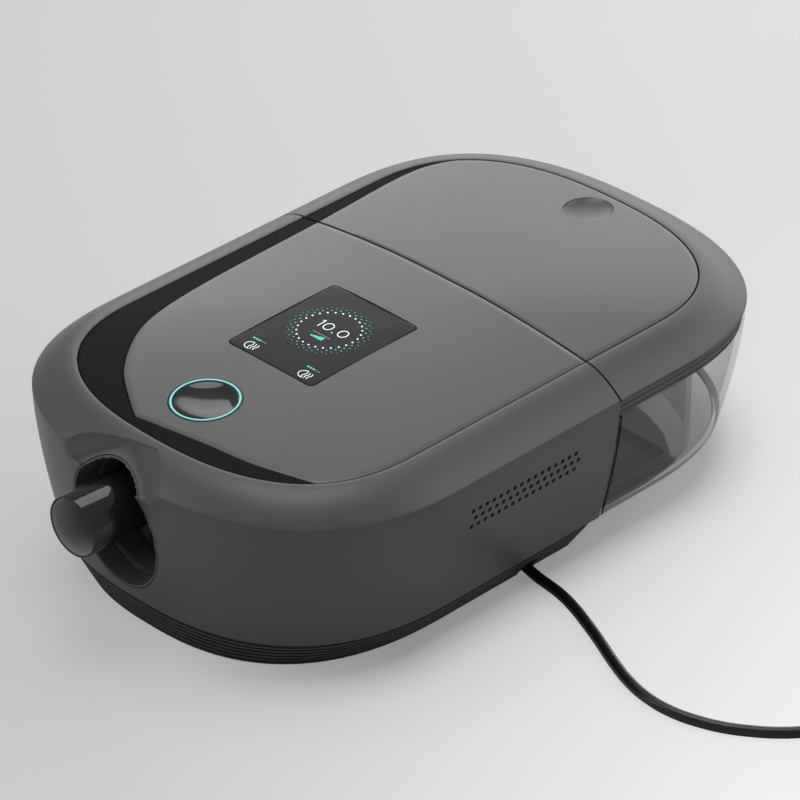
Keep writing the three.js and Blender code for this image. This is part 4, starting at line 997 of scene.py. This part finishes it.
def figures():
    """The number in the dial: a one, a nought, a point and a nought."""
    middle = DIAL[1] + 1.4
    across, up = 1.75, 2.05
    made = [bar(-7.0, middle, 0.34, 4.4), bar(-7.5, middle + 1.85, 1.2, 0.34, 35)]
    made.append(disc(-0.2, middle - 2.0, 0.28))
    for x in (-3.7, 3.3):
        for a in circle(22):
            heading = math.degrees(math.atan2(up * math.cos(a), -across * math.sin(a)))
            made.append(bar(x + across * math.cos(a), middle + up * math.sin(a), 0.65, 0.32, heading))
    return made


def warmth_sign(x, y):
    """A small sign of rising warmth: three wavy lines with part of a ring round them."""
    made = []
    for aside in (-0.2, 1.0, 2.2):
        for i in range(8):
            rise = -1.5 + 3.0 * i / 7
            sway = rise * 2.1
            heading = 90 - 28 * math.cos(sway)
            made.append(bar(x + aside + 0.25 * math.sin(sway), y + rise, 0.5, STROKE, heading))
    for i in range(12):
        a = math.radians(95 + 17 * i)
        heading = math.degrees(a) + 90
        made.append(bar(x - 0.3 + 2.3 * math.cos(a), y + 2.0 * math.sin(a), 0.7, STROKE, heading))
    return made


def add_marks():
    white = dots([(26, 11.3, 0.36, 0.0)]) + figures()
    for x in SIGNS_X:
        white += warmth_sign(x, SIGNS_Y)
    lay_marks("dial_marks", "white_mark", white)
    teal = dots([(26, 12.7, 0.26, 0.5), (26, 13.9, 0.2, 0.0), (26, 14.7, 0.13, 0.5)])
    teal += [bar(DIAL[0] - 2.2 + 1.1 * i, DIAL[1] - 6.3 + 0.16 * i, 0.9, 0.7 + 0.34 * i) for i in range(5)]
    teal += [bar(x + 1.3 * i, BARS_Y, 0.9, 0.7) for x in (-17.4, 9.0) for i in range(3)]
    lay_marks("dial_lights", "teal_mark", teal, 0.035)
    dim = [bar(x + 1.3 * i, BARS_Y, 0.9, 0.5) for x in (-13.5, 12.9) for i in range(2)]
    dim += [bar(DIAL[0] + 0.2 + 1.2 * i, DIAL[1] - 3.9, 0.8, 0.6) for i in range(-3, 4)]
    lay_marks("dial_shades", "dim_mark", dim, 0.02)


DISH_RADIUS, DISH_RIM, DISH_DEPTH = 11, -0.3, 1.0
CAP_SECTION = [(2.9, -2.7), (3, -2.1), (10.8, -2.1), (11, -1.9), (11, -0.5), (10.9, -0.33)]
GLOW_SECTION = [(11.3, -5), (12.5, -5), (12.5, 0.02), (12.42, 0.1), (12.25, 0.14), (11.55, 0.14),
                (11.38, 0.1), (11.3, 0.02)]
DISH_SHARES = (0.9, 0.75, 0.6, 0.45, 0.3, 0.15, 0.03)


def at_button(profile, levelling=0.0):
    """Rings square to the crown at the button, which leans forward; a dish levels out inside its rim."""
    share = (RIM["y"] - BUTTON[1]) / RIM["length"]
    height = dome_z(*BUTTON)
    lean = math.atan(2 * DOME_RISE * share / RIM["length"])
    rings = []
    for radius, z in profile:
        level_share = levelling * min(1, max(0, (10.9 - radius) / 3))
        points = []
        for a in circle(72):
            x, y = radius * math.cos(a), radius * math.sin(a)
            points.append((BUTTON[0] + x, BUTTON[1] + y * math.cos(lean) - z * math.sin(lean),
                           height + y * math.sin(lean) * (1 - level_share) + z * math.cos(lean)))
        rings.append(points)
    return rings


def add_button():
    dish = [(DISH_RADIUS * share, DISH_RIM - DISH_DEPTH * (1 - share * share)) for share in DISH_SHARES]
    cap = lofted("button_dish", at_button(CAP_SECTION) + at_button(dish, levelling=1.0))
    finished(smooth(cap, 40), "power_button", "button_black", "button_cap")
    glow = lofted("glow_ring", at_button(GLOW_SECTION), "loop")
    finished(smooth(glow, 40), "housing", "teal_light", "light_ring")


# Outlet

PIPE = (-10.2, 47)
MOUTH = (-6.2, 42.8)
MOUTH_RADIUS, MOUTH_STRETCH = 21.3, 24.7 / 21.3
CUP_RADIUS, CUP_STRETCH = 21, 24.4 / 21
CUP_FRONT, CUP_RIBS = -134, 34
SMOOTH_ROUND = 96
PIPE_BORE = 9.5
PIPE_SECTION = [(PIPE_BORE, -139), (10.3, -140.6), (10.6, -141), (10.95, -140.9), (11.2, -140.5),
                (11.2, -120), (11.2, -101.7), (13.6, -101.7), (13.6, -99.3), (11.2, -99.3), (11.2, -92),
                (PIPE_BORE, -92), (PIPE_BORE, -110), (PIPE_BORE, -125)]


def inside_pipe(face):
    aside = Vector((face.center.x / MM - PIPE[0], face.center.z / MM - PIPE[1]))
    return aside.length < PIPE_BORE + 0.4 and aside.dot(Vector((face.normal.x, face.normal.z))) < 0


def add_outlet():
    tube = lofted("outlet_pipe", along_y_rings(PIPE_SECTION, *PIPE, SMOOTH_ROUND), "loop")
    finished(smooth(tube), "housing", "smoky_clear", "outlet_tube")
    # painted light: the tube's inner faces take the light grey
    edged(tube, inside_pipe, "bore")

    cup = lofted("outlet_cup", along_y_rings([(CUP_RADIUS, -133), (CUP_RADIUS, -102)], *MOUTH, SMOOTH_ROUND,
                                             CUP_STRETCH))
    pitch = 30.2 / CUP_RIBS
    ribs = [(20.6, CUP_FRONT)]
    for i in range(CUP_RIBS):
        y = CUP_FRONT + pitch * i
        narrow = 20.55 if y < -115 else 19.5
        ribs += [(narrow, y + 0.1), (narrow, y + pitch * 0.5), (narrow - 0.25, y + pitch * 0.6),
                 (narrow - 0.25, y + pitch * 0.95)]
    ribs.append((18.95, -103.8))
    combined(cup, lofted("cup_cutter", along_y_rings(ribs, *MOUTH, SMOOTH_ROUND, CUP_STRETCH)))
    combined(cup, whole_body("body_cutter"), "INTERSECT")
    combined(cup, facet_block("facet_cutter", FACET_RISE))
    combined(cup, lofted("bore_cutter", along_y_rings([(11.5, -110), (11.5, -95)], *PIPE)))
    finished(smooth(cup), "housing", "black_trim", "port_liner", look="cup")


# Base

BASE_FOOT, BASE_TOP, BASE_HEIGHT, BASE_WALL = 1.2, 14.3, 13.1, 3
RIBS = 6
RIB_SECTION = [(0.5, 0), (0.55, 0.6), (0.85, 0.6), (0.9, 0)]
CORD_CHANNEL = (23.7, -10.2, 0), (62.3, 1, 11.4)
CORD_NOTCH = (61, -7.8, 0), (90, -1.4, 7.8)


def base_level(z):
    up = z - BASE_FOOT
    return dict(FOOT, width=67.3 + 9.2 * up / BASE_HEIGHT, length=117.3 + 5.3 * up / BASE_HEIGHT, z=z)


def add_base():
    pitch = BASE_HEIGHT / RIBS
    levels = [base_level(BASE_FOOT)]
    for rib in range(RIBS):
        z = BASE_FOOT + pitch * rib
        levels += [inset(base_level(z + pitch * share), groove) for share, groove in RIB_SECTION]
    levels.append(base_level(BASE_TOP))
    inner = [inset(levels[-1], BASE_WALL), inset(levels[0], BASE_WALL, 3.7)]
    base = front_of(stack("base_skirt", levels + inner), 17.7)
    combined(base, block("channel_cutter", *CORD_CHANNEL))
    combined(base, block("notch_cutter", *CORD_NOTCH))
    finished(smooth(base, 15), "housing", "base_plastic", "base_pan")


# Water tank

TUB_LOW, TUB_FLOOR, TUB_TOP, TUB_WALL = 14.4, 16.4, 59, 2
TUB_FOOT = [(1.1, TUB_LOW), (0.5, 14.55), (0.12, 14.95)]
PLATE_HOLE = (0, 48.4, 134, 41.3, 4)
SPOUT_X, SPOUT_Z, SPOUT_RADIUS, SPOUT_BORE = 46, 42, 10.6, 9
GASKET_FOOT = 59.3
GASKET_RIBS = [(0, 0.9), (0.5, 0.9), (0.8, 1.5), (1.5, 1.5), (1.8, 0.8), (2.9, 0.8), (3.2, 1.4), (3.8, 1.4),
               (4.1, 0.8), (5.2, 0.8), (5.5, 1.3), (5.9, 1.3)]
ARCH_WALL = 1.8
ARCH_FOOT, ARCH_TOP = 16.7, 55


def sections(z0, z1, by, count=6):
    """Even levels of the wall's outline between two heights, moved in."""
    return [inset(wall_level(z0 + (z1 - z0) * i / count), by) for i in range(count + 1)]


def add_tub():
    foot = [inset(wall_level(TUB_LOW), by, z) for by, z in TUB_FOOT] + [wall_level(15.5)]
    walls = rear_of(stack("tank_walls", foot + sections(17.6, TUB_TOP, 0, 8)), SEAM_REAR)
    low, side = wall_level(TUB_FLOOR), wall_level(17.2)
    floor = rounded(inset(low, 2.8), inset(low, TUB_WALL), inset(side, TUB_WALL), 3)
    room = stack("tank_room", floor + sections(18, 62, TUB_WALL))
    combined(walls, rear_of(room, SEAM_REAR + 2.2))
    combined(walls, column("plate_cutter", rounded_box(*PLATE_HOLE), 14, 18))
    for x in (-SPOUT_X, SPOUT_X):
        spout = [(SPOUT_RADIUS, SEAM_REAR + 0.5), (SPOUT_RADIUS, 45.7)]
        combined(walls, lofted("spout", along_y_rings(spout, x, SPOUT_Z, 48)), "UNION")
        bore = [(SPOUT_BORE, 10), (SPOUT_BORE, 60)]
        combined(walls, lofted("bore", along_y_rings(bore, x, SPOUT_Z, 48)))
    finished(smooth(walls), "water_tank", "clear_tank", "tank_tub")
    # painted light: the tub's floor faces take a paler, less clear tint
    edged(walls, lambda face: face.normal.z > 0.9 and 16 < face.center.z / MM < 17.3, "clear_floor")
    sliced(walls, SEAM_REAR + 1)
    # painted shade: the tub's foot band is darkened, as the platform and table below it lie in shade
    edged(walls, lambda face: face.center.z / MM < 17 and abs(face.normal.z) < 0.97)
    # painted shade: the tub's first strip behind the seam is black, widening the dark line of the gap
    seam_shade_strip = SEAM_REAR + SHIFT + 0.9
    edged(walls, lambda face: face.center.y / MM < seam_shade_strip and abs(face.normal.y) < 0.9, "black_trim")


def add_gasket():
    ribs = [inset(wall_level(GASKET_FOOT + up), by) for up, by in GASKET_RIBS]
    seal = rear_of(stack("tank_gasket", ribs), SEAM_REAR)
    hole = [inset(wall_level(GASKET_FOOT), 5.3, z) for z in (55, 70)]
    combined(seal, rear_of(stack("seal_cutter", hole), SEAM_REAR + 4.5))
    finished(smooth(seal, 20), "water_tank", "rubber_black", "tank_seal", look="seal")


def add_arches():
    """The two arched walls that stand in the water."""
    room = inset(wall_level(TUB_FLOOR), TUB_WALL)
    outer_room = dict(room, width=room["width"] - 1.5, length=room["length"] - 20, depth=45)
    inner_room = dict(room, **{key: room[key] * 0.6 for key in ("width", "length", "depth")})
    for name, node, arch, start in (("outer_arch", "baffle_outer", outer_room, 26.2),
                                    ("inner_arch", "baffle_inner", inner_room, 52.7)):
        wall = rear_of(stack(name, [dict(arch, z=z) for z in (ARCH_FOOT, ARCH_TOP)]), start)
        combined(wall, stack("arch_cutter", [inset(arch, ARCH_WALL, z) for z in (10, 60)]))
        finished(smooth(wall), "water_tank", "clear_tank", node, look="arch")
        # painted shade: the arch's top faces are darkened like the dark edge of a clear wall
        edged(wall, lambda face: face.normal.z > 0.9)


# Table and light

BASE_CORE = (0.012, 0.062, 0)
SHADE_REACH, SHADE_FALL = 0.085, 40
WORLD_LIGHT = 0.38


def painted_contact_shadow(f):
    """How much painted contact shadow lies on the table: 1 under the machine, falling to 0 some 20 mm outside
    its base.
    """
    away = f.vectors("SUBTRACT", f.place(), (0, SHIFT * MM, 0))
    away = f.vectors("SUBTRACT", f.vectors("ABSOLUTE", away), BASE_CORE)
    distance = f.vectors("LENGTH", f.vectors("MAXIMUM", away, (0, 0, 0)), output=1)
    return f.clamped((SHADE_REACH - distance) * SHADE_FALL)


def pale_table():
    """The camera sees the table lifted towards a sweep that is brightest at the right, shadows kept; a
    contact shadow is painted in close round the base towards the right.
    """
    f = Finish("table_white")
    even = f.noise(1.5)
    place = f.node("ShaderNodeSeparateXYZ", None, {0: f.place()})
    across = f.node("ShaderNodeSeparateXYZ", None, {0: f.place()}, 1)
    to_right = f.clamped((place + across) * 2.3 + 0.5)
    to_front = f.clamped((place - across) * 1.3 + 0.4)
    shadow_near = painted_contact_shadow(f)
    # painted shadow: the table's tone is darkened close round the base, most on the right
    shaded = shadow_near * shadow_near * f.clamped(4 * (to_right - 0.28))
    tone = (0.58 + 0.2 * to_right + 0.28 * to_right * to_front) * (1 - 0.55 * shaded)
    seen = f.tint((0, 0, 0, 1), (1, 1, 1, 1), tone)
    lit = f.node("ShaderNodeEmission", None, {"Color": seen, "Strength": 1.0})
    matt = f.node("ShaderNodeBsdfPrincipled", None, {
        "Base Color": f.tint(colour("cacaca"), colour("d6d6d6"), even), "Roughness": 0.6})
    ray = f.node("ShaderNodeLightPath")
    share = 0.5 + 0.5 * to_right * to_front
    mix = f.node("ShaderNodeMixShader", None, {0: share * ray, 1: matt, 2: lit})
    f.tree.links.new(mix.socket, f.out.inputs[0])
    return f.material


def add_softbox(name, place, aim, width, height, power):
    soft = bpy.data.lights.new(name, "AREA")
    soft.shape = "RECTANGLE"
    soft.size, soft.size_y = width, height
    soft.energy = power
    lamp = bpy.data.objects.new(name, soft)
    lamp.location = place
    lamp.rotation_euler = (Vector(place) - Vector(aim)).to_track_quat("Z", "Y").to_euler()
    bpy.context.scene.collection.objects.link(lamp)


def add_stage():
    bpy.ops.mesh.primitive_plane_add(size=8)
    floor = named("table_top")
    floor.data.materials.append(pale_table())
    world = bpy.data.worlds.new("studio")
    bpy.context.scene.world = world
    world.use_nodes = True
    background = world.node_tree.nodes["Background"]
    background.inputs[0].default_value = (1, 1, 1, 1)
    background.inputs[1].default_value = WORLD_LIGHT
    add_softbox("softbox_above", (-0.22, 0.05, 1.3), (0, 0, 0.05), 0.8, 0.8, 6)
    add_softbox("softbox_right", (1.05, 1.25, 1.15), (0, 0, 0.07), 1.2, 1.2, 9)
    add_softbox("softbox_left", (-1.08, -1.12, 0.95), (0, -0.1, 0.06), 0.7, 0.7, 4)
    add_softbox("softbox_behind", (-0.87, 1.87, 0.82), (0, 0, 0.07), 3.0, 1.56, 25)
    bpy.context.scene.view_settings.view_transform = "Standard"


make_finishes()
dress_nodes()
add_camera()
add_lead()
add_housing_shell()
add_tank_frame()
add_top_cover()
add_seam_wall()
add_lid()
add_crescents()
add_screen()
add_marks()
add_button()
add_outlet()
add_base()
add_tub()
add_gasket()
add_arches()
add_stage()
